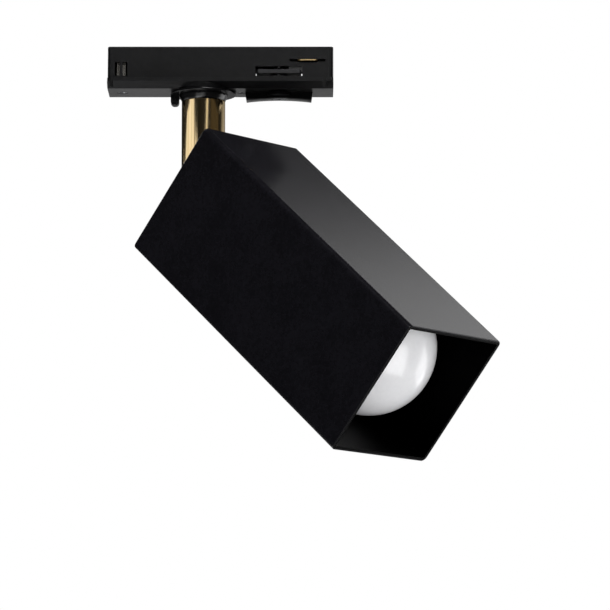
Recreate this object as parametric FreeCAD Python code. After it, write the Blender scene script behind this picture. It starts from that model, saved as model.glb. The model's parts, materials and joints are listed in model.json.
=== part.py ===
"""Track spotlight: a square tube head on a brass stem that hangs from a plug-in track adapter.

Millimetres and degrees, +Z up. The origin is on the stem's axis, in the plane where the adapter's
flange seats against the track. +X runs along the track, towards the locking lever.
Each function makes one piece. Pieces of the stem are drawn upright, with the slot of the knuckle
along X, and pieces of the head are drawn with the beam along +Z from the tilt axis, which lies
along Y. STEM_TURN and HEAD_POSE then take them to where they stand at rest.
"""

import FreeCAD
import Part

import math
import os

from FreeCAD import Placement, Rotation, Vector

os.makedirs("parts", exist_ok=True)

# Rest position: how far the head is panned from the track's line, and how far it looks down.
REST_PAN = -39.3
REST_TILT = 40.9

# Gaps. A fit turns, a body gap keeps neighbours apart, a locating gap is between fixed pieces.
FACE_GAP = 0.05
FIT_GAP = 0.05
BODY_GAP = 0.1
LOCATE_GAP = 0.1

# Leads: three in the adapter and stem, and two of them go on to the lampholder.
LEAD_R = 0.9
LEAD_SPREAD = 1.5
LEAD_BEND = 2.2
LEAD_SIDE_Y = 4.7
LEAD_ANGLES = (-60, 60, 180)
HEAD_LEAD_Y = 1.1

# Hollow threaded nipple that joins the adapter and the stem, with its bush, washer and nut.
NIPPLE_R = 5.0
NIPPLE_BORE_R = 3.4
NIPPLE_PAST_NUT = 2.3
NIPPLE_IN_STEM = 11.0
BUSH_WALL = 1.6
BUSH_STANDS = 1.0
SPRING_RISE = 3.2
SPRING_THICK = 0.8
RING_NUT_WALL = 1.9
RING_NUT = 3.0
RING_NUT_SLOT = 1.6
RING_NUT_SLOT_DEPTH = 1.2
RING_NUT_ROOM = 0.4

# Track adapter: the flange stays under the track, the cover goes up into the track's slot.
ADAPTER_LENGTH = 103.5
FLANGE_WIDTH = 29.0
FLANGE_LIP = 1.6
BASE_BOTTOM_WIDTH = 20.0
BASE_DEPTH = 4.2
BASE_FLOOR = 2.2
COVER_WALL = 1.6
COVER_TOP_EDGE = 0.5
PLAN_CORNER = 1.2
RIB_HEIGHT = 1.5
RIB_WALL = 0.9
SEAT_REBATE = 0.4
SEAM_GAP = 0.15
END_NOTCH = 1.8
END_NOTCH_DEPTH = 3.5
NOTCH_FROM_LEFT = 1.0
NOTCH_FROM_RIGHT = 3.1
END_SEAM = 0.8
END_SEAM_DEPTH = 0.3
END_SEAM_FROM_RIGHT = 1.4

# Adapter screws, thread-forming, from the underside into posts inside the cover.
CASE_SCREW_R = 1.25
CASE_SCREW_HEAD_R = 2.3
CASE_SCREW_HEAD = 1.4
CASE_SCREW_FLOOR = 0.5
CASE_SCREW_LENGTH = 9.0
CASE_SCREW_FROM_LEFT = 6.5
CASE_SCREW_FROM_DISC = 0.7
CASE_POST_R = 2.8
CASE_POST_FROM_TONGUE = 1.2

# Locking lever, its shaft and the tongue that grips the track.
LEVER_LENGTH = 31.0
LEVER_WIDTH = 7.0
LEVER_END_DEPTH = 3.65
LEVER_ARCH = 0.95
LEVER_HUB_R = 6.5
LEVER_HUB = 1.6
LEVER_SLANT = 0.6
LEVER_GAP = 0.3
LEVER_SCREW_HEAD = 1.2
SHAFT_R = 4.0
SHAFT_TOP_R = 3.0
SHAFT_PAST_CLIP = 0.8
TONGUE_LENGTH = 20.6
TONGUE_SWEEP_R = 12.7
TONGUE_THICK = 1.9
TONGUE_BOTTOM = 3.3
TONGUE_IN = 0.5
WINDOW_ROOM = 0.9
WINDOW_HEIGHT = 4.6
WINDOW_RIB = 0.9
POINTER_WIDTH = 2.6
TONGUE_CLEAR = 0.35
CLIP_THICK = 0.6
CLIP_WIDTH = 2.0
CLIP_GROOVE = 0.4
CLIP_OPENING = 2.0

# Side contacts that press outwards on the track's two conductors.
CONTACT_FROM_LEVER = 13.2
CONTACT_LENGTH = 9.2
CONTACT_THICK = 0.6
CONTACT_PROUD = 1.3
CONTACT_SLOT_LENGTH = 16.4
CONTACT_SLOT_HEIGHT = 1.4
CONTACT_SLOT_FROM_END = 3.6
CONTACT_TAB = 3.8
CONTACT_BLOCK_ENDS = 4.0
CONTACT_BLOCK_SKIN = 0.2
CONTACT_BLOCK_ABOVE_SHAFT = 0.4
CONTACT_WALL = 0.8
CONTACT_OUTER_WALL = 1.2
SPRING_R = 1.4
SPRING_WIRE_R = 0.2
SPRING_TURNS = 4
ROOF_ABOVE_LEADS = 0.8

# Earth contact behind a divided window near the other end.
EARTH_FROM_LEFT = 6.2
EARTH_WINDOW = 5.7
EARTH_WINDOW_BOTTOM = 2.0
EARTH_WINDOW_HEIGHT = 6.5
EARTH_BAR_FROM_EDGE = 2.28
EARTH_BAR = 1.2
EARTH_STRIP = 4.0
EARTH_STRIP_ABOVE = 2.0
EARTH_THICK = 0.5
EARTH_NOSE = 1.2
EARTH_GAP = 0.2

# Swivel disc with its lug and stop, and the collar below it.
SWIVEL_DISC = 1.1
SWIVEL_DISC_EDGE = 0.3
SWIVEL_BOSS_IN = 0.7
STOP_TRACK_OUT = 1.8
STOP_TRACK_WIDTH = 2.2
STOP_TRACK_DEPTH = 1.4
STOP_KEY = 1.8
STOP_KEY_GAP = 0.3
STOP_KEY_SHORT = 0.2
STOP_BLOCK = 2.0
LUG_LENGTH = 3.8
LUG_WIDTH = 6.0
LUG_DROP = 4.85
LUG_ROOT = 0.4
COLLAR_PROUD = 1.2
COLLAR = 3.05

# Brass stem, from its rim under the collar down to the rounded fork about the tilt axis.
STEM_R = 10.0
STEM_WALL = 1.5
STEM_EDGE = 0.35
STEM_RIM_TO_PIVOT = 38.65
PLUG_LENGTH = 12.0
FORK_TO_PLUG = 0.65
ROOF_ABOVE_EYE = 2.5
LEAD_WINDOW_BELOW_FORK = 5.0
GRUB_BELOW_FORK = 8.0
GRUB_R = 1.5
GRUB_IN = 0.3
GRUB_FROM_BORE = 0.4
GRUB_SOCKET = 1.4
STEM_LEADS_BELOW_FORK = 2.0

# Knuckle and its pivot screw.
TONGUE_PLATE = 6.0
EYE_R = 7.0
PIVOT_R = 2.5
PIVOT_HEAD_R = 4.0
PIVOT_HEAD_IN = 2.8
PIVOT_HEAD = 1.9
PIVOT_FLOOR = 0.4
PIVOT_THREAD = 1.33
WASHER = 0.75
WASHER_IN = 0.5
PLATE_CLEAR = 0.6
FOOT = 3.0
FOOT_WIDTH = 16.0
FOOT_CORNER = 3.0
FOOT_FROM_BRACKET = 3.5
FOOT_SCREW_FROM_END = 5.0

# Head tube with its back plate. The globe sets the tube's width.
HEAD_LENGTH = 152.5
HEAD_WALL = 1.8
HEAD_CORNER = 2.5
HEAD_LEAST_CORNER = 0.3
RIM_EDGE = 0.3
PLATE = 2.0
PLATE_GAP = 0.1
CORNER_BLOCK = 8.0
CORNER_BLOCK_DEPTH = 10.0
CORNER_BLOCK_EASE = 0.2
SCREW_R = 1.5
SCREW_HEAD_R = 2.9
SCREW_HEAD = 1.5
SCREW_SOCKET_R = 0.9
SCREW_SHORT = 0.2
CORNER_SCREW_SHORT = 3.0
GROMMET_X = -17.0
GROMMET_R = 3.4
GROMMET_LIP = 1.0
GROMMET_LIP_WIDTH = 1.0
GROMMET_FROM_STEM = 0.25
SLEEVE_R = 2.2
SLEEVE_BEND = 6.0
SLEEVE_IN_FORK = 3.0
SLEEVE_BELOW_WINDOW = 4.5
SLEEVE_BEHIND_PLATE = 7.0

# Lampholder on its bracket, placed from the back plate's outer face.
BRACKET = 1.5
BRACKET_WIDTH = 16.0
BRACKET_FROM_TUBE = 1.7
BRACKET_FOOT = 8.0
BRACKET_SCREW_HEAD = 1.6
HOLDER_NIPPLE_R = 5.0
HOLDER_NIPPLE_BORE_R = 3.6
HOLDER_NIPPLE_BELOW = 3.4
HOLDER_NIPPLE_ABOVE = 8.0
HOLDER_NUT_AF = 14.0
HOLDER_NUT = 3.0
HOLDER_LEAD_ROOM = 3.6
HOLDER_LEAD_BELOW = 2.0
HOLDER_CAP_LENGTH = 20.5
HOLDER_SHOULDER = 9.0
HOLDER_NECK = 4.5
HOLDER_NECK_LENGTH = 3.0
HOLDER_WALL = 2.0
HOLDER_ROOM = 2.35
HOLDER_SLEEVE_PROUD = 0.5
HOLDER_SLEEVE_SHORT = 0.4
HOLDER_LIP = 2.5
HOLDER_LIP_GAP = 0.55
HOLDER_ROUND = (1.2, 2.0, 0.6, 3.0)
CORE_BEHIND = 4.0
CORE_AHEAD = 3.0
CORE_GAP = 0.1
CORE_RECESS_R = 6.0
CORE_RECESS = 1.5
CORE_HOLE_R = 1.6
LEAF_RISE = 1.2
LEAF = 0.5
LEAF_HALF_WIDTH = 1.8
LEAF_REACH = (-2.5, 1.4, 5.0)

# Screw lamp: a 27 mm screw cap under a 60 mm opal globe.
THREAD_PITCH = 3.6
THREAD_TURNS = 5
THREAD_DEPTH = 0.8
THREAD_STEPS = 6
SHELL_TURNS = 6
CAP_MAJOR_R = 13.0
CAP_WALL = 0.5
SHELL_CLEAR = 0.35
LAMP_TIP_GAP = 0.4
LAMP_TIP = 1.3
LAMP_TIP_R = 4.5
LAMP_INSULATOR = 4.0
LAMP_INSULATOR_IN = 1.8
LAMP_SKIRT = 3.5
GLOBE_R = 30.0
GLOBE_FROM_PLATE = 117.2
GLOBE_WALL = 1.2
GLOBE_BACK = 11.0
GLOBE_GAP = 1.2
BODY_WALL = 1.6
BODY_PROUD = 0.8
BODY_CURVE = ((0.06, 0.16), (0.36, 0.5), (0.78, 0.82))
LED_PLATE = 1.6
LED_PLATE_IN = 3.9
LED_FROM_EDGE = 9.0
LED_COUNT = 10
LED_SIZE = 3.0
LED_HEIGHT = 0.8

# The adapter's heights, worked out from the sizes above.
FLOOR_TOP = BASE_FLOOR - BASE_DEPTH
RING_NUT_Z = FLOOR_TOP + BUSH_STANDS + SPRING_RISE
NIPPLE_TOP = RING_NUT_Z + RING_NUT + NIPPLE_PAST_NUT
LEVER_TOP = -BASE_DEPTH - LEVER_GAP
SHAFT_TOP = TONGUE_BOTTOM + TONGUE_THICK + CLIP_THICK + SHAFT_PAST_CLIP
CONTACT_BLOCK_HEIGHT = CONTACT_TAB + 2 * BODY_GAP + 2 * CONTACT_BLOCK_SKIN
CONTACT_Z = SHAFT_TOP + CONTACT_BLOCK_ABOVE_SHAFT + CONTACT_BLOCK_HEIGHT / 2
LEAD_Z = CONTACT_Z + CONTACT_BLOCK_HEIGHT / 2 + BODY_GAP + LEAD_R
COVER_ROOF = LEAD_Z + LEAD_R + ROOF_ABOVE_LEADS
COVER_HEIGHT = COVER_ROOF + COVER_WALL
DISC_TOP = -BASE_DEPTH - BODY_GAP
DISC_BOTTOM = DISC_TOP - SWIVEL_DISC

# Its widths, from the nipple outwards.
BUSH_R = NIPPLE_R + FIT_GAP + BUSH_WALL
RING_NUT_R = NIPPLE_R + RING_NUT_WALL
COVER_INNER = RING_NUT_R + RING_NUT_ROOM
COVER_HALF = COVER_INNER + COVER_WALL
RIB_INNER = COVER_INNER - LOCATE_GAP - RIB_WALL
CONTACT_STOP = COVER_INNER - LOCATE_GAP - CONTACT_OUTER_WALL

# Its places along the track, from the stem's axis to the right end, and then the left end.
COLLAR_TOP_R = STEM_R + COLLAR_PROUD
SWIVEL_DISC_R = COLLAR_TOP_R + LUG_LENGTH
SWIVEL_BOSS_R = SWIVEL_DISC_R - SWIVEL_BOSS_IN
STOP_TRACK_OUTER = SWIVEL_DISC_R - STOP_TRACK_OUT
STOP_TRACK_INNER = STOP_TRACK_OUTER - STOP_TRACK_WIDTH
CASE_SCREW_RIGHT = SWIVEL_DISC_R + CASE_SCREW_FROM_DISC + CASE_SCREW_HEAD_R
LEVER_X = CASE_SCREW_RIGHT + CASE_POST_R + CASE_POST_FROM_TONGUE + TONGUE_SWEEP_R
CONTACT_X = LEVER_X + CONTACT_FROM_LEVER
ADAPTER_RIGHT = CONTACT_X + CONTACT_SLOT_LENGTH / 2 + CONTACT_SLOT_FROM_END
ADAPTER_LEFT = ADAPTER_RIGHT - ADAPTER_LENGTH
CASE_SCREW_X = (ADAPTER_LEFT + CASE_SCREW_FROM_LEFT, CASE_SCREW_RIGHT)
EARTH_X = ADAPTER_LEFT + EARTH_FROM_LEFT
EARTH_BAR_X = EARTH_X - EARTH_WINDOW / 2 + EARTH_BAR_FROM_EDGE

# The stem and knuckle. Heights in the stem count from the tilt axis.
STEM_TOP = DISC_BOTTOM - COLLAR
PIVOT_Z = STEM_TOP - STEM_RIM_TO_PIVOT
STEM_INNER = STEM_R - STEM_WALL
FORK_TOP = STEM_RIM_TO_PIVOT - PLUG_LENGTH - FORK_TO_PLUG
SLOT_ROOF = EYE_R + ROOF_ABOVE_EYE
LEAD_WINDOW_TOP = FORK_TOP - LEAD_WINDOW_BELOW_FORK
GRUB_HEIGHT = FORK_TOP - GRUB_BELOW_FORK
SLOT_HALF = TONGUE_PLATE / 2 + FACE_GAP + WASHER + FACE_GAP
PIVOT_HEAD_AT = STEM_R - PIVOT_HEAD_IN
WASHER_R = EYE_R - WASHER_IN
PIVOT_TO_PLATE = STEM_R + PLATE_CLEAR
PLATE_IN = PIVOT_TO_PLATE + PLATE

# The head, across.
HEAD_INNER = GLOBE_R + GLOBE_GAP
HEAD_HALF = HEAD_INNER + HEAD_WALL
INNER_CORNER = max(HEAD_CORNER - HEAD_WALL, HEAD_LEAST_CORNER)
BRACKET_HALF_SPAN = HEAD_INNER - BRACKET_FROM_TUBE - BRACKET_FOOT
BRACKET_SCREW_Y = BRACKET_HALF_SPAN + BRACKET_FOOT / 2
FOOT_HALF = BRACKET_HALF_SPAN - BRACKET - FOOT_FROM_BRACKET
FOOT_SCREW_Y = FOOT_HALF - FOOT_SCREW_FROM_END
CAP_MINOR_R = CAP_MAJOR_R - THREAD_DEPTH
SHELL_ROOT_R = CAP_MAJOR_R + SHELL_CLEAR
SHELL_OUTER_R = SHELL_ROOT_R + THREAD_DEPTH + CAP_WALL
HOLDER_INNER_R = SHELL_OUTER_R + HOLDER_ROOM
HOLDER_CAP_R = HOLDER_INNER_R + HOLDER_WALL
HOLDER_SLEEVE_R = HOLDER_CAP_R + HOLDER_SLEEVE_PROUD
HOLDER_MOUTH_R = SHELL_OUTER_R + HOLDER_LIP_GAP
GLOBE_RIM_R = math.sqrt(GLOBE_R ** 2 - GLOBE_BACK ** 2)
LED_PLATE_R = GLOBE_RIM_R - LED_PLATE_IN
LED_RING_R = LED_PLATE_R - LED_FROM_EDGE

# The head, along the beam from the back plate's outer face.
BRACKET_BRIDGE = PLATE + FOOT + HOLDER_LEAD_ROOM + HOLDER_NIPPLE_BELOW
CAP_FRONT = BRACKET_BRIDGE + BRACKET + HOLDER_CAP_LENGTH
CORE_FRONT = CAP_FRONT + CORE_AHEAD
LAMP_START = CORE_FRONT + LEAF_RISE + LAMP_TIP_GAP
THREAD_START = LAMP_START + LAMP_TIP + LAMP_INSULATOR
THREAD_END = THREAD_START + THREAD_PITCH * THREAD_TURNS
LAMP_BODY_START = THREAD_END + LAMP_SKIRT
HOLDER_MOUTH = LAMP_BODY_START - HOLDER_SLEEVE_SHORT
GLOBE_RIM = GLOBE_FROM_PLATE - GLOBE_BACK

STEM_TURN = Placement(Vector(0, 0, 0), Rotation(Vector(0, 0, 1), REST_PAN))
HEAD_TURN = Rotation(Vector(0, 0, 1), REST_PAN) * Rotation(Vector(0, 1, 0), 90 + REST_TILT)
HEAD_POSE = Placement(Vector(0, 0, PIVOT_Z), HEAD_TURN)

X_AXIS = Vector(1, 0, 0)
Y_AXIS = Vector(0, 1, 0)
Z_AXIS = Vector(0, 0, 1)


# Shapes that many pieces are made of.

def block(x0, x1, y0, y1, z0, z1):
    return Part.makeBox(x1 - x0, y1 - y0, z1 - z0, Vector(x0, y0, z0))


def rod(radius, z0, z1, x=0.0, y=0.0):
    return Part.makeCylinder(radius, z1 - z0, Vector(x, y, z0), Z_AXIS)


def ring(outer, inner, z0, z1, x=0.0, y=0.0):
    return rod(outer, z0, z1, x, y).cut(rod(inner, z0, z1, x, y))


def cross_rod(radius, y0, y1, x=0.0, z=0.0):
    return Part.makeCylinder(radius, y1 - y0, Vector(x, y0, z), Y_AXIS)


def cone(r0, r1, z0, z1, x=0.0, y=0.0):
    return Part.makeCone(r0, r1, z1 - z0, Vector(x, y, z0), Z_AXIS)


def rounded_block(x0, x1, y0, y1, z0, z1, corner):
    solid = block(x0, x1, y0, y1, z0, z1)
    upright = [e for e in solid.Edges if abs(e.Vertexes[0].Z - e.Vertexes[1].Z) > (z1 - z0) / 2]
    return solid.makeFillet(corner, upright)


def prism_along_x(points, x0, x1):
    """Extrudes a closed outline of (y, z) points from x0 to x1."""
    corners = [Vector(x0, y, z) for y, z in points]
    outline = Part.makePolygon(corners + corners[:1])
    return Part.Face(outline).extrude(Vector(x1 - x0, 0, 0))


def prism_along_y(points, y0, y1):
    """Extrudes a closed outline of (x, z) points from y0 to y1."""
    corners = [Vector(x, y0, z) for x, z in points]
    outline = Part.makePolygon(corners + corners[:1])
    return Part.Face(outline).extrude(Vector(0, y1 - y0, 0))


def hexagon(across_flats, z0, z1):
    radius = across_flats / math.sqrt(3)
    turn = [math.radians(60 * i) for i in range(7)]
    outline = Part.makePolygon([Vector(radius * math.cos(t), radius * math.sin(t), z0) for t in turn])
    return Part.Face(outline).extrude(Vector(0, 0, z1 - z0))


def turned(edges):
    """Turns a closed outline, drawn in the XZ plane as edges, about the Z axis."""
    face = Part.Face(Part.Wire(edges))
    return face.revolve(Vector(0, 0, 0), Z_AXIS, 360)


def at(radius, z):
    return Vector(radius, 0, z)


def line(a, b):
    return Part.LineSegment(a, b).toShape()


def polyline(points):
    return [line(a, b) for a, b in zip(points, points[1:])]


def arc(a, middle, b):
    return Part.Arc(a, middle, b).toShape()


def mirrored_y(shape):
    return shape.mirror(Vector(0, 0, 0), Y_AXIS)


def bent_path(points, bend):
    """Straight runs joined by tangent arcs, whose radius is bend or what the runs allow."""
    edges = []
    start = points[0]
    for before, corner, after in zip(points, points[1:], points[2:]):
        inward = (corner - before).normalize()
        outward = (after - corner).normalize()
        turn = inward.getAngle(outward)
        room = 0.45 * min((corner - before).Length, (after - corner).Length)
        radius = min(bend, room / math.tan(turn / 2))
        reach = radius * math.tan(turn / 2)
        first = corner - inward * reach
        last = corner + outward * reach
        centre_way = (outward - inward).normalize()
        middle = corner + centre_way * (radius / math.cos(turn / 2) - radius)
        edges.append(line(start, first))
        edges.append(arc(first, middle, last))
        start = last
    edges.append(line(start, points[-1]))
    return Part.Wire(edges)


def lead(points, bend, radius=LEAD_R):
    """A round wire along a bent path."""
    path = bent_path(points, bend)
    along = (points[1] - points[0]).normalize()
    section = Part.Wire([Part.Circle(points[0], along, radius).toShape()])
    return path.makePipeShell([section], True, True)


def countersunk_screw(x, y, z, length):
    """A countersunk screw whose flat head lies in the plane z and whose shank runs to +Z."""
    head = cone(SCREW_HEAD_R, SCREW_R, z, z + SCREW_HEAD, x, y)
    shank = rod(SCREW_R, z + SCREW_HEAD, z + length, x, y)
    drive = rod(SCREW_SOCKET_R, z, z + SCREW_HEAD * 0.7, x, y)
    return head.fuse(shank).cut(drive)


def countersink(x, y, z):
    """The room that such a screw's head and shank need in a plate that starts at z."""
    return cone(SCREW_HEAD_R, SCREW_R, z, z + SCREW_HEAD, x, y).fuse(rod(SCREW_R, z, z + PLATE, x, y))


def group(shapes):
    return Part.makeCompound(shapes)


# Adapter, which stays in the track.

def case_screw_room(x):
    bottom = -BASE_DEPTH
    return rod(CASE_SCREW_HEAD_R + LOCATE_GAP, bottom, bottom + CASE_SCREW_HEAD, x).fuse(
        rod(CASE_SCREW_R + LOCATE_GAP, bottom, COVER_HEIGHT, x))


def adapter_base():
    half = FLANGE_WIDTH / 2
    foot = BASE_BOTTOM_WIDTH / 2
    outline = [(-half, 0), (half, 0), (half, -FLANGE_LIP), (foot, -BASE_DEPTH),
               (-foot, -BASE_DEPTH), (-half, -FLANGE_LIP)]
    plan = rounded_block(ADAPTER_LEFT, ADAPTER_RIGHT, -half, half, -BASE_DEPTH, 0, PLAN_CORNER)
    base = prism_along_x(outline, ADAPTER_LEFT, ADAPTER_RIGHT).common(plan)
    base = base.fuse(rod(SWIVEL_BOSS_R, -BASE_DEPTH, -FLANGE_LIP))
    seat = COVER_HALF + SEAM_GAP
    base = base.cut(rounded_block(ADAPTER_LEFT, ADAPTER_RIGHT, -seat, seat, -SEAT_REBATE, 0, PLAN_CORNER))
    rib_out = COVER_INNER - LOCATE_GAP
    left = ADAPTER_LEFT + COVER_WALL + LOCATE_GAP
    right = ADAPTER_RIGHT - COVER_WALL - LOCATE_GAP
    base = base.fuse(block(left, right, -rib_out, rib_out, -SEAT_REBATE, RIB_HEIGHT))
    pocket = block(left + RIB_WALL, right - RIB_WALL, -RIB_INNER, RIB_INNER, FLOOR_TOP, RIB_HEIGHT)
    base = base.cut(pocket)
    for x in CASE_SCREW_X:
        base = base.fuse(rod(CASE_POST_R, FLOOR_TOP, -SEAT_REBATE, x)).cut(case_screw_room(x))
    base = base.cut(rod(BUSH_R, -BASE_DEPTH, RIB_HEIGHT))
    base = base.cut(rod(RING_NUT_R + BODY_GAP, FLOOR_TOP, RIB_HEIGHT))
    base = base.cut(rod(SHAFT_R + FIT_GAP, -BASE_DEPTH, RIB_HEIGHT, LEVER_X))
    track = ring(STOP_TRACK_OUTER, STOP_TRACK_INNER, -BASE_DEPTH, -BASE_DEPTH + STOP_TRACK_DEPTH)
    stop = block(0, STOP_TRACK_OUTER, -STOP_BLOCK / 2, STOP_BLOCK / 2, -BASE_DEPTH, 0)
    base = base.cut(track.cut(stop))
    for x0 in (ADAPTER_LEFT + NOTCH_FROM_LEFT, ADAPTER_RIGHT - NOTCH_FROM_RIGHT - END_NOTCH):
        notch = block(x0, x0 + END_NOTCH, half - END_NOTCH_DEPTH, half, -BASE_DEPTH, 0)
        base = base.cut(notch).cut(mirrored_y(notch))
    return base


def window_marks(bottom, top):
    """The short rib above the tongue and the pointer below it, in one wall, at the lever's axis."""
    rib = block(LEVER_X - WINDOW_RIB / 2, LEVER_X + WINDOW_RIB / 2, COVER_INNER, COVER_HALF,
                TONGUE_BOTTOM + TONGUE_THICK + TONGUE_CLEAR, top)
    outline = [(LEVER_X - POINTER_WIDTH / 2, bottom), (LEVER_X + POINTER_WIDTH / 2, bottom),
               (LEVER_X, TONGUE_BOTTOM - TONGUE_CLEAR)]
    return rib, prism_along_y(outline, COVER_INNER, COVER_HALF)


def adapter_cover():
    outside = rounded_block(ADAPTER_LEFT, ADAPTER_RIGHT, -COVER_HALF, COVER_HALF,
                            -SEAT_REBATE, COVER_HEIGHT, PLAN_CORNER)
    top_edges = [e for e in outside.Edges if e.BoundBox.ZMin > COVER_HEIGHT - 0.01]
    outside = outside.makeFillet(COVER_TOP_EDGE, top_edges)
    left = ADAPTER_LEFT + COVER_WALL
    right = ADAPTER_RIGHT - COVER_WALL
    cover = outside.cut(block(left, right, -COVER_INNER, COVER_INNER, -SEAT_REBATE, COVER_ROOF))
    for x in CASE_SCREW_X:
        cover = cover.fuse(rod(CASE_POST_R, -SEAT_REBATE, COVER_ROOF, x))
        cover = cover.cut(rod(CASE_SCREW_R, -SEAT_REBATE, CASE_SCREW_LENGTH, x))
    window_z = TONGUE_BOTTOM + TONGUE_THICK / 2 - WINDOW_HEIGHT / 2
    half = (TONGUE_LENGTH + WINDOW_ROOM) / 2
    cover = cover.cut(block(LEVER_X - half, LEVER_X + half, -COVER_HALF, COVER_HALF,
                            window_z, window_z + WINDOW_HEIGHT))
    for mark in window_marks(window_z, window_z + WINDOW_HEIGHT):
        cover = cover.fuse(mark).fuse(mirrored_y(mark))
    half = CONTACT_SLOT_LENGTH / 2
    cover = cover.cut(block(CONTACT_X - half, CONTACT_X + half, -COVER_HALF, COVER_HALF,
                            CONTACT_Z - CONTACT_SLOT_HEIGHT / 2, CONTACT_Z + CONTACT_SLOT_HEIGHT / 2))
    half = EARTH_WINDOW / 2
    for x0, x1 in ((EARTH_X - half, EARTH_BAR_X), (EARTH_BAR_X + EARTH_BAR, EARTH_X + half)):
        cover = cover.cut(block(x0, x1, -COVER_HALF, -COVER_INNER,
                                EARTH_WINDOW_BOTTOM, EARTH_WINDOW_BOTTOM + EARTH_WINDOW_HEIGHT))
    seam_x = ADAPTER_RIGHT - END_SEAM_FROM_RIGHT
    deep = COVER_HALF - END_SEAM_DEPTH
    seam = block(seam_x - END_SEAM, seam_x, -COVER_HALF, COVER_HALF, 0, COVER_HEIGHT)
    return cover.cut(seam.cut(block(seam_x - END_SEAM, seam_x, -deep, deep, 0, COVER_HEIGHT)))


def adapter_screws():
    screws = []
    for x in CASE_SCREW_X:
        top = -BASE_DEPTH + CASE_SCREW_HEAD
        head = rod(CASE_SCREW_HEAD_R, -BASE_DEPTH + LOCATE_GAP, top, x)
        slot = rod(SCREW_SOCKET_R, -BASE_DEPTH + LOCATE_GAP, top - CASE_SCREW_FLOOR, x)
        shank = rod(CASE_SCREW_R, top, CASE_SCREW_LENGTH - LOCATE_GAP, x)
        screws.append(head.fuse(shank).cut(slot))
    return group(screws)


def swivel_bush():
    return ring(BUSH_R, NIPPLE_R + FIT_GAP, -BASE_DEPTH, FLOOR_TOP + BUSH_STANDS)


def contact_block():
    half = CONTACT_LENGTH / 2 + CONTACT_BLOCK_ENDS
    z0 = CONTACT_Z - CONTACT_BLOCK_HEIGHT / 2
    side = COVER_INNER - LOCATE_GAP
    body = block(CONTACT_X - half, CONTACT_X + half, -side, side, z0, z0 + CONTACT_BLOCK_HEIGHT)
    blade = CONTACT_LENGTH / 2 + BODY_GAP
    tab = CONTACT_TAB / 2 + BODY_GAP
    thick = CONTACT_THICK / 2 + BODY_GAP
    slot = block(CONTACT_X - blade, CONTACT_X + blade, CONTACT_WALL, side,
                 CONTACT_Z - thick, CONTACT_Z + thick)
    well = block(CONTACT_X - tab, CONTACT_X + tab, CONTACT_WALL, CONTACT_STOP,
                 CONTACT_Z - tab, CONTACT_Z + tab)
    room = slot.fuse(well)
    return body.cut(room).cut(mirrored_y(room))


def contact_blade():
    """The contact on the +Y side: a flat nose with a tab that its spring pushes on."""
    nose = CONTACT_LENGTH / 2
    tab = CONTACT_TAB / 2
    tab_out = CONTACT_STOP - BODY_GAP
    flat = block(CONTACT_X - nose, CONTACT_X + nose, tab_out - CONTACT_THICK,
                 COVER_HALF + CONTACT_PROUD, CONTACT_Z - CONTACT_THICK / 2, CONTACT_Z + CONTACT_THICK / 2)
    tips = [e for e in flat.Edges if abs(e.Vertexes[0].Z - e.Vertexes[1].Z) > CONTACT_THICK / 2
            and e.Vertexes[0].Y > COVER_HALF]
    flat = flat.makeFillet(CONTACT_PROUD, tips)
    upright = block(CONTACT_X - tab, CONTACT_X + tab, tab_out - CONTACT_THICK, tab_out,
                    CONTACT_Z - tab, CONTACT_Z + tab)
    return flat.fuse(upright)


def contact_spring():
    """The coil spring behind the +Y contact."""
    start = CONTACT_WALL + SPRING_WIRE_R
    end = CONTACT_STOP - BODY_GAP - CONTACT_THICK - SPRING_WIRE_R
    height = end - start
    helix = Part.makeHelix(height / SPRING_TURNS, height, SPRING_R)
    section = Part.Wire([Part.Circle(Vector(SPRING_R, 0, 0), Y_AXIS, SPRING_WIRE_R).toShape()])
    coil = Part.Wire(helix).makePipeShell([section], True, True)
    coil.Placement = Placement(Vector(CONTACT_X, start, CONTACT_Z), Rotation(X_AXIS, -90))
    return coil


def earth_contact():
    half = EARTH_STRIP / 2
    leaf_out = COVER_INNER - EARTH_GAP - LOCATE_GAP
    leaf = block(EARTH_X - half, EARTH_X + half, -leaf_out, -leaf_out + EARTH_THICK,
                 RIB_HEIGHT + LOCATE_GAP, EARTH_WINDOW_BOTTOM + EARTH_WINDOW_HEIGHT + EARTH_STRIP_ABOVE)
    nose_z = EARTH_WINDOW_BOTTOM + EARTH_GAP
    nose = block(EARTH_BAR_X + EARTH_BAR + EARTH_GAP, EARTH_X + half, -COVER_HALF + LOCATE_GAP, -leaf_out,
                 nose_z, nose_z + EARTH_NOSE)
    return leaf.fuse(nose)


def stem_lead_place(angle):
    """Where a lead passes down the nipple, at an angle in degrees from +X."""
    turn = math.radians(angle)
    return Vector(LEAD_SPREAD * math.cos(turn), LEAD_SPREAD * math.sin(turn), 0)


def side_lead(side):
    """A lead from a side contact to the mouth of the nipple, on the side -1 or 1."""
    y = side * LEAD_SIDE_Y
    mouth = stem_lead_place(side * LEAD_ANGLES[1])
    return lead([Vector(CONTACT_X - CONTACT_LENGTH / 3, y, LEAD_Z), Vector(2 * NIPPLE_R, y, LEAD_Z),
                 mouth + Vector(0, 0, LEAD_Z), mouth + Vector(0, 0, NIPPLE_TOP + BODY_GAP)], LEAD_BEND)


def live_lead():
    return side_lead(-1)


def neutral_lead():
    return side_lead(1)


def earth_lead():
    mouth = stem_lead_place(LEAD_ANGLES[2])
    return lead([Vector(EARTH_X, -LEAD_SIDE_Y, LEAD_Z), Vector(-2.4 * NIPPLE_R, -LEAD_SIDE_Y, LEAD_Z),
                 mouth + Vector(0, 0, LEAD_Z), mouth + Vector(0, 0, NIPPLE_TOP + BODY_GAP)], LEAD_BEND)


# Locking lever and what turns with it.

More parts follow.
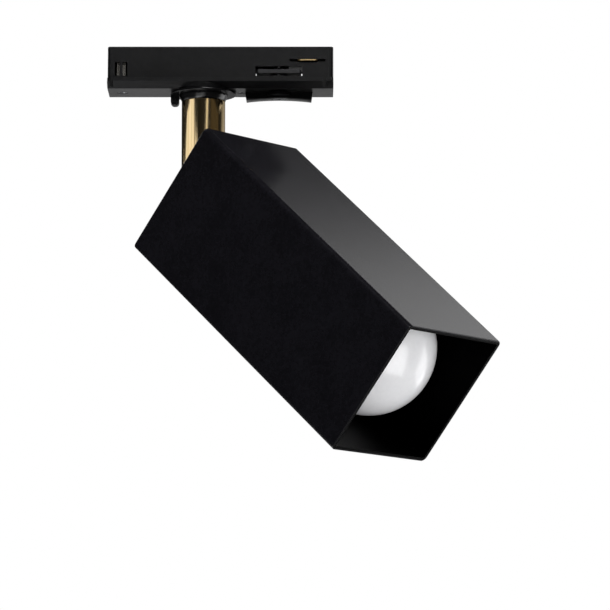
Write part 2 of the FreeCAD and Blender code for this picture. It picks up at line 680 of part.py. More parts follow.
def locking_lever():
    top = LEVER_TOP
    end = top - LEVER_END_DEPTH
    half = LEVER_LENGTH / 2
    width = LEVER_WIDTH / 2
    a = Vector(LEVER_X - half, -width, top)
    b = Vector(LEVER_X - half + LEVER_SLANT, -width, end)
    arch = Vector(LEVER_X, -width, end + LEVER_ARCH)
    c = Vector(LEVER_X + half - LEVER_SLANT, -width, end)
    d = Vector(LEVER_X + half, -width, top)
    outline = Part.Wire([line(a, b), arc(b, arch, c), line(c, d), line(d, a)])
    blade = Part.Face(outline).extrude(Vector(0, LEVER_WIDTH, 0))
    lever = blade.fuse(rod(LEVER_HUB_R, top - LEVER_HUB, top, LEVER_X))
    lever = lever.cut(rod(SCREW_R, end, top, LEVER_X))
    return lever.cut(rod(SCREW_HEAD_R + LOCATE_GAP, end, top - LEVER_HUB, LEVER_X))


def lever_shaft():
    shaft = rod(SHAFT_R, LEVER_TOP, TONGUE_BOTTOM, LEVER_X)
    shaft = shaft.fuse(rod(SHAFT_TOP_R, TONGUE_BOTTOM, SHAFT_TOP, LEVER_X))
    clip_z = TONGUE_BOTTOM + TONGUE_THICK
    groove = ring(SHAFT_TOP_R, SHAFT_TOP_R - CLIP_GROOVE, clip_z, clip_z + CLIP_THICK, LEVER_X)
    shaft = shaft.cut(groove)
    return shaft.cut(rod(SCREW_R, LEVER_TOP, 0, LEVER_X))


def locking_tongue():
    half = TONGUE_LENGTH / 2
    side = COVER_HALF - TONGUE_IN
    z1 = TONGUE_BOTTOM + TONGUE_THICK
    plate = block(LEVER_X - half, LEVER_X + half, -side, side, TONGUE_BOTTOM, z1)
    plate = plate.common(rod(TONGUE_SWEEP_R, TONGUE_BOTTOM, z1, LEVER_X))
    return plate.cut(rod(SHAFT_TOP_R, TONGUE_BOTTOM, z1, LEVER_X))


def tongue_clip():
    z0 = TONGUE_BOTTOM + TONGUE_THICK
    inner = SHAFT_TOP_R - CLIP_GROOVE
    outer = inner + CLIP_WIDTH
    clip = ring(outer, inner, z0, z0 + CLIP_THICK, LEVER_X)
    half = CLIP_OPENING / 2
    return clip.cut(block(LEVER_X, LEVER_X + outer, -half, half, z0, z0 + CLIP_THICK))


def lever_screw():
    head_top = LEVER_TOP - LEVER_HUB
    head = rod(SCREW_HEAD_R, head_top - LEVER_SCREW_HEAD, head_top, LEVER_X)
    drive = rod(SCREW_SOCKET_R, head_top - LEVER_SCREW_HEAD, head_top - LEVER_SCREW_HEAD / 3, LEVER_X)
    return head.fuse(rod(SCREW_R, head_top, -BODY_GAP, LEVER_X)).cut(drive)


# Swivel and stem, which pan together.

def swivel_disc():
    disc = rod(SWIVEL_DISC_R, DISC_BOTTOM, DISC_TOP)
    rims = [e for e in disc.Edges if e.Curve.TypeId == "Part::GeomCircle"]
    disc = disc.makeFillet(SWIVEL_DISC_EDGE, rims)
    outer_x = -SWIVEL_DISC_R
    bottom = DISC_BOTTOM - LUG_DROP
    half = LUG_WIDTH / 2
    lug = block(outer_x, outer_x + LUG_LENGTH, -half, half, bottom, DISC_BOTTOM)
    tips = [e for e in lug.Edges if e.BoundBox.ZMax < bottom + 0.01 and e.BoundBox.XLength < 0.01]
    lug = lug.makeFillet(LUG_LENGTH * 0.4, tips)
    lug = lug.fuse(block(outer_x + LUG_ROOT, outer_x + LUG_LENGTH, -half, half,
                         DISC_BOTTOM - LUG_ROOT, DISC_TOP - SWIVEL_DISC_EDGE))
    key = block(-STOP_TRACK_OUTER + STOP_KEY_GAP, -STOP_TRACK_INNER - STOP_KEY_GAP,
                -STOP_KEY / 2, STOP_KEY / 2,
                DISC_BOTTOM, -BASE_DEPTH + STOP_TRACK_DEPTH - STOP_KEY_SHORT)
    return disc.fuse(lug).fuse(key).cut(rod(NIPPLE_R, DISC_BOTTOM, DISC_TOP))


def swivel_collar():
    body = cone(STEM_R, COLLAR_TOP_R, STEM_TOP, DISC_BOTTOM)
    return body.cut(rod(NIPPLE_R, STEM_TOP, DISC_BOTTOM))


def hollow_nipple():
    return ring(NIPPLE_R, NIPPLE_BORE_R, STEM_TOP - NIPPLE_IN_STEM, NIPPLE_TOP)


def ring_nut():
    nut = ring(RING_NUT_R, NIPPLE_R, RING_NUT_Z, RING_NUT_Z + RING_NUT)
    top = RING_NUT_Z + RING_NUT
    half = RING_NUT_SLOT / 2
    return nut.cut(block(-RING_NUT_R, RING_NUT_R, -half, half, top - RING_NUT_SLOT_DEPTH, top))


def spring_washer():
    """A cone spring that keeps the swivel stiff, between the bush and the ring nut."""
    z0 = FLOOR_TOP + BUSH_STANDS + FACE_GAP
    z1 = RING_NUT_Z
    inner = NIPPLE_R + BODY_GAP
    outer = RING_NUT_R - BODY_GAP
    lip = (outer - inner) / 3
    outline = [at(inner, z1 - SPRING_THICK), at(inner, z1), at(inner + lip, z1),
               at(outer, z0 + SPRING_THICK), at(outer, z0), at(outer - lip, z0),
               at(inner, z1 - SPRING_THICK)]
    return turned(polyline(outline))


def stem_end():
    """The room that the stem fills: everything above the tilt axis, and a round end about it."""
    above = block(-STEM_R, STEM_R, -STEM_R, STEM_R, PIVOT_Z, STEM_TOP)
    return above.fuse(cross_rod(STEM_R, -STEM_R, STEM_R, 0, PIVOT_Z))


def fork_room():
    """What is cut from the stem for the knuckle, its leads and its screw."""
    bottom = PIVOT_Z - STEM_R
    slot = block(-STEM_R, STEM_R, -SLOT_HALF, SLOT_HALF, bottom, PIVOT_Z + SLOT_ROOF)
    window = block(0, STEM_R, -SLOT_HALF, SLOT_HALF, PIVOT_Z, PIVOT_Z + LEAD_WINDOW_TOP)
    hole = cross_rod(PIVOT_R, -STEM_R, STEM_R, 0, PIVOT_Z)
    head = cross_rod(PIVOT_HEAD_R + LOCATE_GAP, PIVOT_HEAD_AT, STEM_R, 0, PIVOT_Z)
    return slot.fuse(window).fuse(hole).fuse(head).fuse(mirrored_y(head))


def grub_room():
    return Part.makeCylinder(GRUB_R, STEM_R, Vector(-STEM_R, 0, PIVOT_Z + GRUB_HEIGHT), X_AXIS)


def stem_tube():
    tube = ring(STEM_R, STEM_INNER, PIVOT_Z - STEM_R, STEM_TOP).common(stem_end())
    rim = [e for e in tube.Edges if e.BoundBox.ZMin > STEM_TOP - 0.01]
    tube = tube.makeFillet(STEM_EDGE, rim)
    return tube.cut(fork_room()).cut(grub_room())


def stem_plug():
    return ring(STEM_INNER, NIPPLE_R, STEM_TOP - PLUG_LENGTH, STEM_TOP)


def stem_fork():
    body = rod(STEM_INNER, PIVOT_Z - STEM_R, PIVOT_Z + FORK_TOP).common(stem_end())
    body = body.cut(rod(NIPPLE_BORE_R, PIVOT_Z, PIVOT_Z + FORK_TOP))
    return body.cut(fork_room()).cut(grub_room())


def grub_screw():
    outer_end = Vector(-STEM_R + GRUB_IN, 0, PIVOT_Z + GRUB_HEIGHT)
    length = STEM_R - GRUB_IN - NIPPLE_BORE_R - GRUB_FROM_BORE
    screw = Part.makeCylinder(GRUB_R, length, outer_end, X_AXIS)
    return screw.cut(Part.makeCylinder(GRUB_R / 2, GRUB_SOCKET, outer_end, X_AXIS))


def pivot_screw():
    head = cross_rod(PIVOT_HEAD_R, -PIVOT_HEAD_AT - PIVOT_HEAD, -PIVOT_HEAD_AT, 0, PIVOT_Z)
    drive = cross_rod(PIVOT_R / 2, -PIVOT_HEAD_AT - PIVOT_HEAD, -PIVOT_HEAD_AT - PIVOT_FLOOR, 0, PIVOT_Z)
    shank = cross_rod(PIVOT_R, -PIVOT_HEAD_AT, PIVOT_HEAD_AT + PIVOT_THREAD, 0, PIVOT_Z)
    return head.fuse(shank).cut(drive)


def pivot_nut():
    nut = cross_rod(PIVOT_HEAD_R, PIVOT_HEAD_AT, PIVOT_HEAD_AT + PIVOT_HEAD, 0, PIVOT_Z)
    return nut.cut(cross_rod(PIVOT_R, PIVOT_HEAD_AT, PIVOT_HEAD_AT + PIVOT_HEAD, 0, PIVOT_Z))


def friction_washers():
    y0 = TONGUE_PLATE / 2 + FACE_GAP
    washer = cross_rod(WASHER_R, y0, y0 + WASHER, 0, PIVOT_Z)
    washer = washer.cut(cross_rod(PIVOT_R, y0, y0 + WASHER, 0, PIVOT_Z))
    return group([washer, mirrored_y(washer)])


def stem_leads():
    bottom = PIVOT_Z + FORK_TOP - STEM_LEADS_BELOW_FORK
    places = [stem_lead_place(angle - REST_PAN) for angle in LEAD_ANGLES]
    return group([rod(LEAD_R, bottom, NIPPLE_TOP, p.x, p.y) for p in places])


def knuckle_sleeve():
    """A flexible sleeve over the leads, from the stem's bore through the window to the head."""
    pan_frame = Rotation(Y_AXIS, 90 + REST_TILT)
    pivot = Vector(0, 0, PIVOT_Z)
    into = pan_frame.multVec(Vector(GROMMET_X, 0, PIVOT_TO_PLATE + PLATE / 2))
    before = pan_frame.multVec(Vector(GROMMET_X, 0, PIVOT_TO_PLATE - SLEEVE_BEHIND_PLATE))
    points = [Vector(0, 0, FORK_TOP - SLEEVE_IN_FORK),
              Vector(0, 0, LEAD_WINDOW_TOP - SLEEVE_BELOW_WINDOW), before, into]
    return lead([p + pivot for p in points], SLEEVE_BEND, SLEEVE_R)


# Head, drawn with the beam along +Z from the tilt axis, its top side towards -X.

def head_place(distance):
    """Height above the tilt axis of a point at a distance from the back plate's outer face."""
    return PIVOT_TO_PLATE + distance


def head_tube():
    half = HEAD_HALF
    z0 = head_place(0)
    z1 = head_place(HEAD_LENGTH)
    outside = rounded_block(-half, half, -half, half, z0, z1, HEAD_CORNER)
    inside = rounded_block(-HEAD_INNER, HEAD_INNER, -HEAD_INNER, HEAD_INNER, z0, z1, INNER_CORNER)
    tube = outside.cut(inside)
    rims = [e for e in tube.Edges if e.BoundBox.ZMin > z1 - 0.01 or e.BoundBox.ZMax < z0 + 0.01]
    outer_rims = [e for e in rims if max(abs(e.BoundBox.XMax), abs(e.BoundBox.XMin),
                                         abs(e.BoundBox.YMax), abs(e.BoundBox.YMin)) > half - 0.01]
    return tube.makeFillet(RIM_EDGE, outer_rims)


def corner_points():
    reach = HEAD_INNER - CORNER_BLOCK / 2
    return [(x, y) for x in (-reach, reach) for y in (-reach, reach)]


def back_plate():
    half = HEAD_INNER - PLATE_GAP
    z0 = head_place(0)
    plate = rounded_block(-half, half, -half, half, z0, z0 + PLATE, INNER_CORNER)
    thick = TONGUE_PLATE / 2 + LOCATE_GAP
    plate = plate.cut(block(-EYE_R - LOCATE_GAP, EYE_R + LOCATE_GAP, -thick, thick, z0, z0 + PLATE))
    for x, y in corner_points() + [(0, -FOOT_SCREW_Y), (0, FOOT_SCREW_Y)]:
        plate = plate.cut(countersink(x, y, z0))
    plate = plate.cut(rod(GROMMET_R, z0, z0 + PLATE, GROMMET_X))
    for y in (-BRACKET_SCREW_Y, BRACKET_SCREW_Y):
        plate = plate.cut(rod(SCREW_R, z0, z0 + PLATE, 0, y))
    return plate


def corner_blocks():
    z0 = head_place(PLATE)
    blocks = []
    half = CORNER_BLOCK / 2
    for x, y in corner_points():
        one = rounded_block(x - half, x + half, y - half, y + half, z0, z0 + CORNER_BLOCK_DEPTH,
                            INNER_CORNER + CORNER_BLOCK_EASE)
        blocks.append(one.cut(rod(SCREW_R, z0, z0 + CORNER_BLOCK_DEPTH, x, y)))
    return group(blocks)


def back_plate_screws():
    length = PLATE + CORNER_BLOCK_DEPTH - CORNER_SCREW_SHORT
    return group([countersunk_screw(x, y, head_place(0), length) for x, y in corner_points()])


def knuckle():
    z0 = PLATE_IN
    thick = TONGUE_PLATE / 2
    body = cross_rod(EYE_R, -thick, thick).fuse(block(-EYE_R, EYE_R, -thick, thick, 0, z0))
    body = body.cut(cross_rod(PIVOT_R + FIT_GAP, -thick, thick))
    foot = rounded_block(-FOOT_WIDTH / 2, FOOT_WIDTH / 2, -FOOT_HALF, FOOT_HALF,
                         z0, z0 + FOOT, FOOT_CORNER)
    body = body.fuse(foot)
    for y in (-FOOT_SCREW_Y, FOOT_SCREW_Y):
        body = body.cut(rod(SCREW_R, z0, z0 + FOOT, 0, y))
    return body


def knuckle_screws():
    length = PLATE + FOOT - SCREW_SHORT
    return group([countersunk_screw(0, y, head_place(0), length)
                  for y in (-FOOT_SCREW_Y, FOOT_SCREW_Y)])


def grommet():
    z0 = head_place(0)
    z1 = head_place(PLATE)
    lip = GROMMET_R + GROMMET_LIP_WIDTH
    outer_face = z0 - PLATE_CLEAR + GROMMET_FROM_STEM
    inner_face = z1 + GROMMET_LIP
    body = rod(GROMMET_R, z0, z1, GROMMET_X)
    body = body.fuse(rod(lip, outer_face, z0, GROMMET_X))
    body = body.fuse(rod(lip, z1, inner_face, GROMMET_X))
    return body.cut(rod(SLEEVE_R + BODY_GAP, outer_face, inner_face, GROMMET_X))


def holder_bracket():
    half = BRACKET_WIDTH / 2
    span = BRACKET_HALF_SPAN
    z0 = head_place(PLATE)
    z1 = head_place(BRACKET_BRIDGE)
    top = z1 + BRACKET
    outline = [(-span - BRACKET_FOOT, z0), (-span + BRACKET, z0), (-span + BRACKET, z1),
               (span - BRACKET, z1), (span - BRACKET, z0), (span + BRACKET_FOOT, z0),
               (span + BRACKET_FOOT, z0 + BRACKET), (span, z0 + BRACKET), (span, top),
               (-span, top), (-span, z0 + BRACKET), (-span - BRACKET_FOOT, z0 + BRACKET)]
    strip = prism_along_x(outline, -half, half)
    strip = strip.cut(rod(HOLDER_NIPPLE_R, z1, top))
    for y in (-BRACKET_SCREW_Y, BRACKET_SCREW_Y):
        strip = strip.cut(rod(SCREW_R, z0, z0 + BRACKET, 0, y))
    return strip


def bracket_screws():
    z = head_place(PLATE) + BRACKET
    top = z + BRACKET_SCREW_HEAD
    screws = []
    for y in (-BRACKET_SCREW_Y, BRACKET_SCREW_Y):
        head = rod(SCREW_HEAD_R, z, top, 0, y)
        drive = rod(SCREW_SOCKET_R, z + BRACKET_SCREW_HEAD / 2, top, 0, y)
        shank = rod(SCREW_R, head_place(0) + SCREW_SHORT, z, 0, y)
        screws.append(head.fuse(shank).cut(drive))
    return group(screws)


def holder_nipple():
    bridge = head_place(BRACKET_BRIDGE)
    return ring(HOLDER_NIPPLE_R, HOLDER_NIPPLE_BORE_R, bridge - HOLDER_NIPPLE_BELOW,
                bridge + BRACKET + HOLDER_NIPPLE_ABOVE)


def holder_nut():
    z1 = head_place(BRACKET_BRIDGE)
    nut = hexagon(HOLDER_NUT_AF, z1 - HOLDER_NUT, z1)
    return nut.cut(rod(HOLDER_NIPPLE_R, z1 - HOLDER_NUT, z1))


def holder_cap():
    z0 = head_place(BRACKET_BRIDGE + BRACKET)
    z1 = head_place(CAP_FRONT)
    shoulder = z0 + HOLDER_SHOULDER
    neck = HOLDER_NIPPLE_R + HOLDER_NECK
    neck_top = z0 + HOLDER_NECK_LENGTH
    inner = HOLDER_INNER_R
    roof = neck_top + HOLDER_WALL * 0.6
    outline = [at(HOLDER_NIPPLE_R, z0), at(neck, z0), at(neck, neck_top), at(HOLDER_CAP_R, shoulder),
               at(HOLDER_CAP_R, z1), at(inner, z1), at(inner, shoulder + HOLDER_WALL * 0.4),
               at(neck - HOLDER_WALL / 2, roof), at(HOLDER_NIPPLE_R, roof), at(HOLDER_NIPPLE_R, z0)]
    return turned(polyline(outline))


def holder_core():
    z0 = head_place(CAP_FRONT - CORE_BEHIND)
    z1 = head_place(CORE_FRONT)
    core = rod(HOLDER_INNER_R - CORE_GAP, z0, z1)
    recess = rod(CORE_RECESS_R, z1 - CORE_RECESS, z1)
    return core.cut(rod(CORE_HOLE_R, z0, z1)).cut(recess)


def holder_sleeve():
    z0 = head_place(CAP_FRONT)
    z1 = head_place(HOLDER_MOUTH)
    outer = HOLDER_SLEEVE_R
    inner = HOLDER_INNER_R
    mouth = HOLDER_MOUTH_R
    in_a, in_b, down_b, down_a = HOLDER_ROUND
    outline = [at(inner, z0), at(outer, z0), at(outer, z1 - down_a), at(outer - in_a, z1 - down_b),
               at(outer - in_b, z1), at(mouth, z1), at(mouth, z1 - HOLDER_LIP),
               at(inner, z1 - HOLDER_LIP), at(inner, z0)]
    return turned(polyline(outline))


def thread_wave(crest, root, z0, turns):
    """Points down a rolled thread, from crest to root and back once a turn."""
    mid = (crest + root) / 2
    swing = (crest - root) / 2
    points = []
    for i in range(turns * THREAD_STEPS + 1):
        angle = 2 * math.pi * i / THREAD_STEPS
        points.append(at(mid - swing * math.cos(angle), z0 + THREAD_PITCH * i / THREAD_STEPS))
    return points


def rolled_tube(crest, root, wall, z0, turns, wall_inside):
    """A thin tube rolled to a thread's profile; its wall is inside the profile or outside it."""
    shift = -wall if wall_inside else wall
    face = thread_wave(crest, root, z0, turns)
    other = [p + Vector(shift, 0, 0) for p in face]
    curves = []
    for row in (face, other):
        spline = Part.BSplineCurve()
        spline.interpolate(row)
        curves.append(spline.toShape())
    ends = [line(face[0], other[0]), line(face[-1], other[-1])]
    return turned(Part.__sortEdges__(curves + ends))


def thread_shell():
    """The lampholder's thread sleeve, clear of the lamp's cap all the way out."""
    return rolled_tube(SHELL_ROOT_R + THREAD_DEPTH, SHELL_ROOT_R, CAP_WALL,
                       head_place(CORE_FRONT), SHELL_TURNS, False)


def centre_contact():
    z0 = head_place(CORE_FRONT) - CORE_RECESS
    z1 = head_place(CORE_FRONT) + LEAF_RISE
    start, fold, end = LEAF_REACH
    half = LEAF_HALF_WIDTH
    foot = block(start, end, -half, half, z0, z0 + LEAF)
    pad = block(start, fold, -half, half, z1 - LEAF, z1)
    riser = prism_along_y([(end - 2 * LEAF, z0 + LEAF), (end, z0 + LEAF),
                           (fold, z1 - LEAF), (fold - 2 * LEAF, z1 - LEAF)], -half, half)
    return foot.fuse(riser).fuse(pad)


def head_leads():
    """Two leads from the grommet, under the bracket's bridge and up the nipple into the holder."""
    start = head_place(PLATE / 2)
    under = head_place(BRACKET_BRIDGE - HOLDER_NIPPLE_BELOW - HOLDER_LEAD_BELOW)
    end = head_place(CAP_FRONT - CORE_BEHIND) - BODY_GAP
    return group([lead([Vector(GROMMET_X, y, start), Vector(GROMMET_X, y, under),
                        Vector(0, y, under), Vector(0, y, end)], LEAD_BEND)
                  for y in (-HEAD_LEAD_Y, HEAD_LEAD_Y)])


def lamp_globe():
    centre = head_place(GLOBE_FROM_PLATE)
    back = -GLOBE_BACK
    inner_r = GLOBE_R - GLOBE_WALL
    outer_at = GLOBE_RIM_R
    inner_at = math.sqrt(inner_r ** 2 - back ** 2)
    side = math.radians(45)
    outer_mid = at(GLOBE_R * math.cos(side), centre + GLOBE_R * math.sin(side))
    inner_mid = at(inner_r * math.cos(side), centre + inner_r * math.sin(side))
    edges = [arc(at(outer_at, centre + back), outer_mid, at(0, centre + GLOBE_R)),
             line(at(0, centre + GLOBE_R), at(0, centre + inner_r)),
             arc(at(0, centre + inner_r), inner_mid, at(inner_at, centre + back)),
             line(at(inner_at, centre + back), at(outer_at, centre + back))]
    return turned(edges)


def lamp_body_profile():
    """The outside of the lamp's white body, from the cap's skirt to the globe's edge."""
    z0 = head_place(LAMP_BODY_START)
    z1 = head_place(GLOBE_RIM)
    r0 = CAP_MAJOR_R + BODY_PROUD
    widen = GLOBE_RIM_R - r0
    between = [at(r0 + out * widen, z0 + up * (z1 - z0)) for out, up in BODY_CURVE]
    return [at(r0, z0)] + between + [at(GLOBE_RIM_R, z1)]


def lamp_body():
    outside = lamp_body_profile()
    inside = [p + Vector(-BODY_WALL, 0, 0) for p in outside]
    curves = []
    for row in (outside, inside):
        spline = Part.BSplineCurve()
        spline.interpolate(row)
        curves.append(spline.toShape())
    ends = [line(outside[0], inside[0]), line(outside[-1], inside[-1])]
    return turned(Part.__sortEdges__(curves + ends))


def lamp_cap():
    z0 = head_place(THREAD_START)
    threads = rolled_tube(CAP_MAJOR_R, CAP_MINOR_R, CAP_WALL, z0, THREAD_TURNS, True)
    z1 = head_place(THREAD_END)
    skirt = ring(CAP_MAJOR_R, CAP_MINOR_R - CAP_WALL, z1, z1 + LAMP_SKIRT)
    return threads.fuse(skirt)


def lamp_insulator():
    z0 = head_place(LAMP_START + LAMP_TIP)
    z1 = head_place(THREAD_START)
    wide = CAP_MINOR_R - LAMP_INSULATOR_IN
    outline = [at(0, z0), at(LAMP_TIP_R, z0), at(wide, z1), at(0, z1)]
    return turned(polyline(outline + outline[:1]))


def lamp_tip():
    z0 = head_place(LAMP_START)
    z1 = z0 + LAMP_TIP
    edges = [arc(at(0, z0), at(LAMP_TIP_R * 0.55, z0 + LAMP_TIP * 0.25), at(LAMP_TIP_R, z1)),
             line(at(LAMP_TIP_R, z1), at(0, z1)), line(at(0, z1), at(0, z0))]
    return turned(edges)


def led_board():
    z1 = head_place(GLOBE_RIM)
    board = rod(LED_PLATE_R, z1 - LED_PLATE, z1)
    half = LED_SIZE / 2
    for i in range(LED_COUNT):
        turn = 2 * math.pi * i / LED_COUNT
        x = LED_RING_R * math.cos(turn)
        y = LED_RING_R * math.sin(turn)
        board = board.fuse(block(x - half, x + half, y - half, y + half, z1, z1 + LED_HEIGHT))
    return board


ADAPTER_PIECES = [adapter_base, adapter_cover, adapter_screws, swivel_bush, contact_block,
                  earth_contact, live_lead, neutral_lead, earth_lead,
                  locking_lever, lever_shaft, locking_tongue, tongue_clip, lever_screw,
                  swivel_disc, swivel_collar, hollow_nipple, ring_nut, spring_washer, stem_plug]
STEM_PIECES = [stem_tube, stem_fork, grub_screw, pivot_screw, pivot_nut, friction_washers,
               stem_leads, knuckle_sleeve]
HEAD_PIECES = [head_tube, back_plate, corner_blocks, back_plate_screws, knuckle, knuckle_screws,
               grommet, holder_bracket, bracket_screws, holder_nipple, holder_nut, holder_cap,
               holder_core, holder_sleeve, thread_shell, centre_contact, head_leads,
               lamp_globe, lamp_body, lamp_cap, lamp_insulator, lamp_tip, led_board]


def write(name, shape):
    shape.exportStep("parts/" + name + ".step")
    print(name, len(shape.Solids), "solid", shape.isValid(), round(shape.Volume, 1), "mm3")


def placed(shape, pose):
    moved = shape.copy()
    moved.Placement = pose.multiply(moved.Placement)
    return moved


for piece in ADAPTER_PIECES:
    write(piece.__name__, piece())
for piece in STEM_PIECES:
    write(piece.__name__, placed(piece(), STEM_TURN))
for piece in HEAD_PIECES:
    write(piece.__name__, placed(piece(), HEAD_POSE))
write("neutral_contact", contact_blade())
write("live_contact", mirrored_y(contact_blade()))
write("neutral_contact_spring", contact_spring())
write("live_contact_spring", mirrored_y(contact_spring()))
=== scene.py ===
"""Looks of the track spotlight: finishes, fine pieces, camera and light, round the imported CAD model.

Metres, +Z up, in the CAD model's frame: the stem's axis is the Z axis, and z 0 is the plane where
the adapter's flange seats against the track. Pieces of the head are drawn in the head's own axes,
which come from the model's joints: along the beam, along the tilt axis, and across both.
"""

import json
import math

import bmesh
import bpy
import numpy as np
from mathutils import Matrix, Vector

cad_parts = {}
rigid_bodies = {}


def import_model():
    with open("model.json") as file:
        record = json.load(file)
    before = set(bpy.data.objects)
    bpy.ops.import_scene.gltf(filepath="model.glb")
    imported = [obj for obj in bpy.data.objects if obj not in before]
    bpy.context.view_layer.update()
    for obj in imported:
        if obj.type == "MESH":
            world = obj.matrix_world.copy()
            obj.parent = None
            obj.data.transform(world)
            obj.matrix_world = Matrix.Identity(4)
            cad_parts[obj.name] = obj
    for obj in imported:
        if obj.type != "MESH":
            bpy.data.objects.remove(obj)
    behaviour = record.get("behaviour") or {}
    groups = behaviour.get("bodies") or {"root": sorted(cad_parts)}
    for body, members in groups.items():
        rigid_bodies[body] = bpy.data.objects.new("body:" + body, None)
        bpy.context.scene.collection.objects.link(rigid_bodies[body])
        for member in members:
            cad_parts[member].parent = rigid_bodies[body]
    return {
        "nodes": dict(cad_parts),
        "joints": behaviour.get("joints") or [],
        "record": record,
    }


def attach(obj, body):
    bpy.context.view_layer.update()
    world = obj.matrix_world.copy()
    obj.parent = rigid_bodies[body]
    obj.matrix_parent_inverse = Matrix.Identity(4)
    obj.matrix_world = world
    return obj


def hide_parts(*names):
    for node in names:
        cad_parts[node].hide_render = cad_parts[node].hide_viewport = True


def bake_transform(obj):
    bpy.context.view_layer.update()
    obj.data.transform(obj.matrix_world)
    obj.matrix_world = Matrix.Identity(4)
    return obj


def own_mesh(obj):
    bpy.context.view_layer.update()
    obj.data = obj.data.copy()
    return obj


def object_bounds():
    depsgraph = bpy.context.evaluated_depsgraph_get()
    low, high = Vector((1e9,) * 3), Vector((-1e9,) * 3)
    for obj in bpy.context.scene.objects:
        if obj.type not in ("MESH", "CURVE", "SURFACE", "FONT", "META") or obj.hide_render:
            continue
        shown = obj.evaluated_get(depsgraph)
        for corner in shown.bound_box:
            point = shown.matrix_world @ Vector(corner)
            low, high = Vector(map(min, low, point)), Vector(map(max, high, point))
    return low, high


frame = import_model()
CAD_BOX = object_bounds()
MM = 0.001

# Camera and light.
CAMERA_AT = (46.7 * MM, -1.697, -352.9 * MM)
CAMERA_LOOKS_UP = 8.38
CAMERA_LENS = 221.7
CAMERA_SENSOR = 36.0
CAMERA_SEES = 50
FLOOR_DROP = 1.5
FLOOR_SIZE = 16.0
FLOOR_COLOUR = (0.82, 0.82, 0.82, 1)
FLOOR_ROUGHNESS = 0.9
FLOOR_GLOW = 0.62
ROOM_DARK = 0.02
ROOM_BRIGHT = 0.50
ROOM_BRIGHT_WAY = (0.25, 0.90, -0.36)
ROOM_BRIGHT_FROM = 0.62

# Finishes that a light reaches. "not brass" is every finish but the brass.
BRASS = ("satin_brass",)
PLASTIC = ("black_plastic", "tongue_plastic")
GLOSS_PLASTIC = ("black_plastic", "gloss_black_plastic", "tongue_plastic")
OPAL = ("opal",)
NOT_BRASS = "not brass"
WHITE = (1.0, 1.0, 1.0)
WARM = (1.0, 0.80, 0.45)

# Each light: azimuth, elevation, distance, width, height, radiance, colour, finishes.
LIGHTS = {
    "left_box": (-73, 9, 1.3, 0.94, 1.3, 0.98, WHITE, BRASS),
    "strip": (21, 8, 1.4, 0.20, 1.0, 1.1, WHITE, BRASS),
    "right_dim": (68, 9, 1.3, 1.2, 1.3, 0.05, WARM, BRASS),
    "right_back": (130, 9, 1.3, 0.6, 1.3, 0.22, WHITE, BRASS),
    "key": (12, 42, 1.4, 0.7, 0.7, 5.6, WHITE, NOT_BRASS),
    "rear_box": (136, 32, 0.69, 0.36, 0.45, 1.0, WHITE, NOT_BRASS),
    "low_back": (180, -12, 1.4, 1.6, 0.6, 0.34, WHITE, PLASTIC),
    "low_front": (-20, -50, 0.75, 0.6, 0.6, 3.2, WHITE, GLOSS_PLASTIC),
    "back_fill": (-142, 36, 1.4, 1.2, 1.2, 3.2, WHITE, NOT_BRASS),
    "far_fill": (118, -6, 1.4, 0.9, 1.2, 2.2, WHITE, NOT_BRASS),
    "under_fill": (-120, -45, 1.3, 1.0, 1.0, 1.2, WHITE, NOT_BRASS),
    "globe_fill": (42, -26, 0.9, 0.9, 0.7, 4.0, WHITE, OPAL),
}

# The head's own axes, and its square tube.
JOINTS = {joint["name"]: joint for joint in frame["joints"]}
BEAM = Vector(JOINTS["lamp_withdraw"]["axis"]).normalized()
HINGE = Vector(JOINTS["tilt"]["axis"]).normalized()
ACROSS = HINGE.cross(BEAM)
PIVOT = Vector(JOINTS["tilt"]["pos_m"])
HEAD_AXES = Matrix((ACROSS, HINGE, BEAM)).transposed()
TUBE_INNER = 31.2 * MM
TUBE_WALL = 1.8 * MM
ROUND_SEGMENTS = 48

# Below this angle in degrees a fine piece is smooth over an edge, and a CAD node's edge isn't eased.
SMOOTH_BELOW = 35

# Screws.
SCREW_EASE = 0.15 * MM
SCREW_SEGMENTS = 36
SOCKET_DEEP = 0.62
SOCKET_WIDE = 0.40
THREAD_STEPS = 6
THREAD_DEPTH = 0.5
THREAD_RUN_IN = 0.2
THREAD_END = 0.3
SHANK_TIP = 0.8
FINE_PITCH = 0.5 * MM
CASE_PITCH = 0.8 * MM

# Globe.
GLOBE_WALL = 1.2 * MM
GLOBE_STEPS = 40
GLOBE_SEGMENTS = 96

# Sleeve over the leads, along the stem's axis, then along the beam to one side of the knuckle.
SLEEVE_TOP = 23.0 * MM
SLEEVE_BEND_AT = 16.5 * MM
SLEEVE_SIDE = -17.0 * MM
SLEEVE_BEFORE_PLATE = 3.6 * MM
SLEEVE_IN_PLATE = 11.6 * MM
SLEEVE_R = 2.15 * MM
SLEEVE_STEPS = 40
SLEEVE_WEAVE = 0.12 * MM
SLEEVE_STRANDS = 8
SLEEVE_LAY = 9.0 * MM

# Contact springs.
SPRING_WIRE_R = 0.2 * MM
SPRING_WIRE_SEGMENTS = 12
SPRING_COILS = 5.5
SPRING_STEPS = 40
SPRING_FLAT = 0.14
SPRING_FLAT_RISE = 0.1

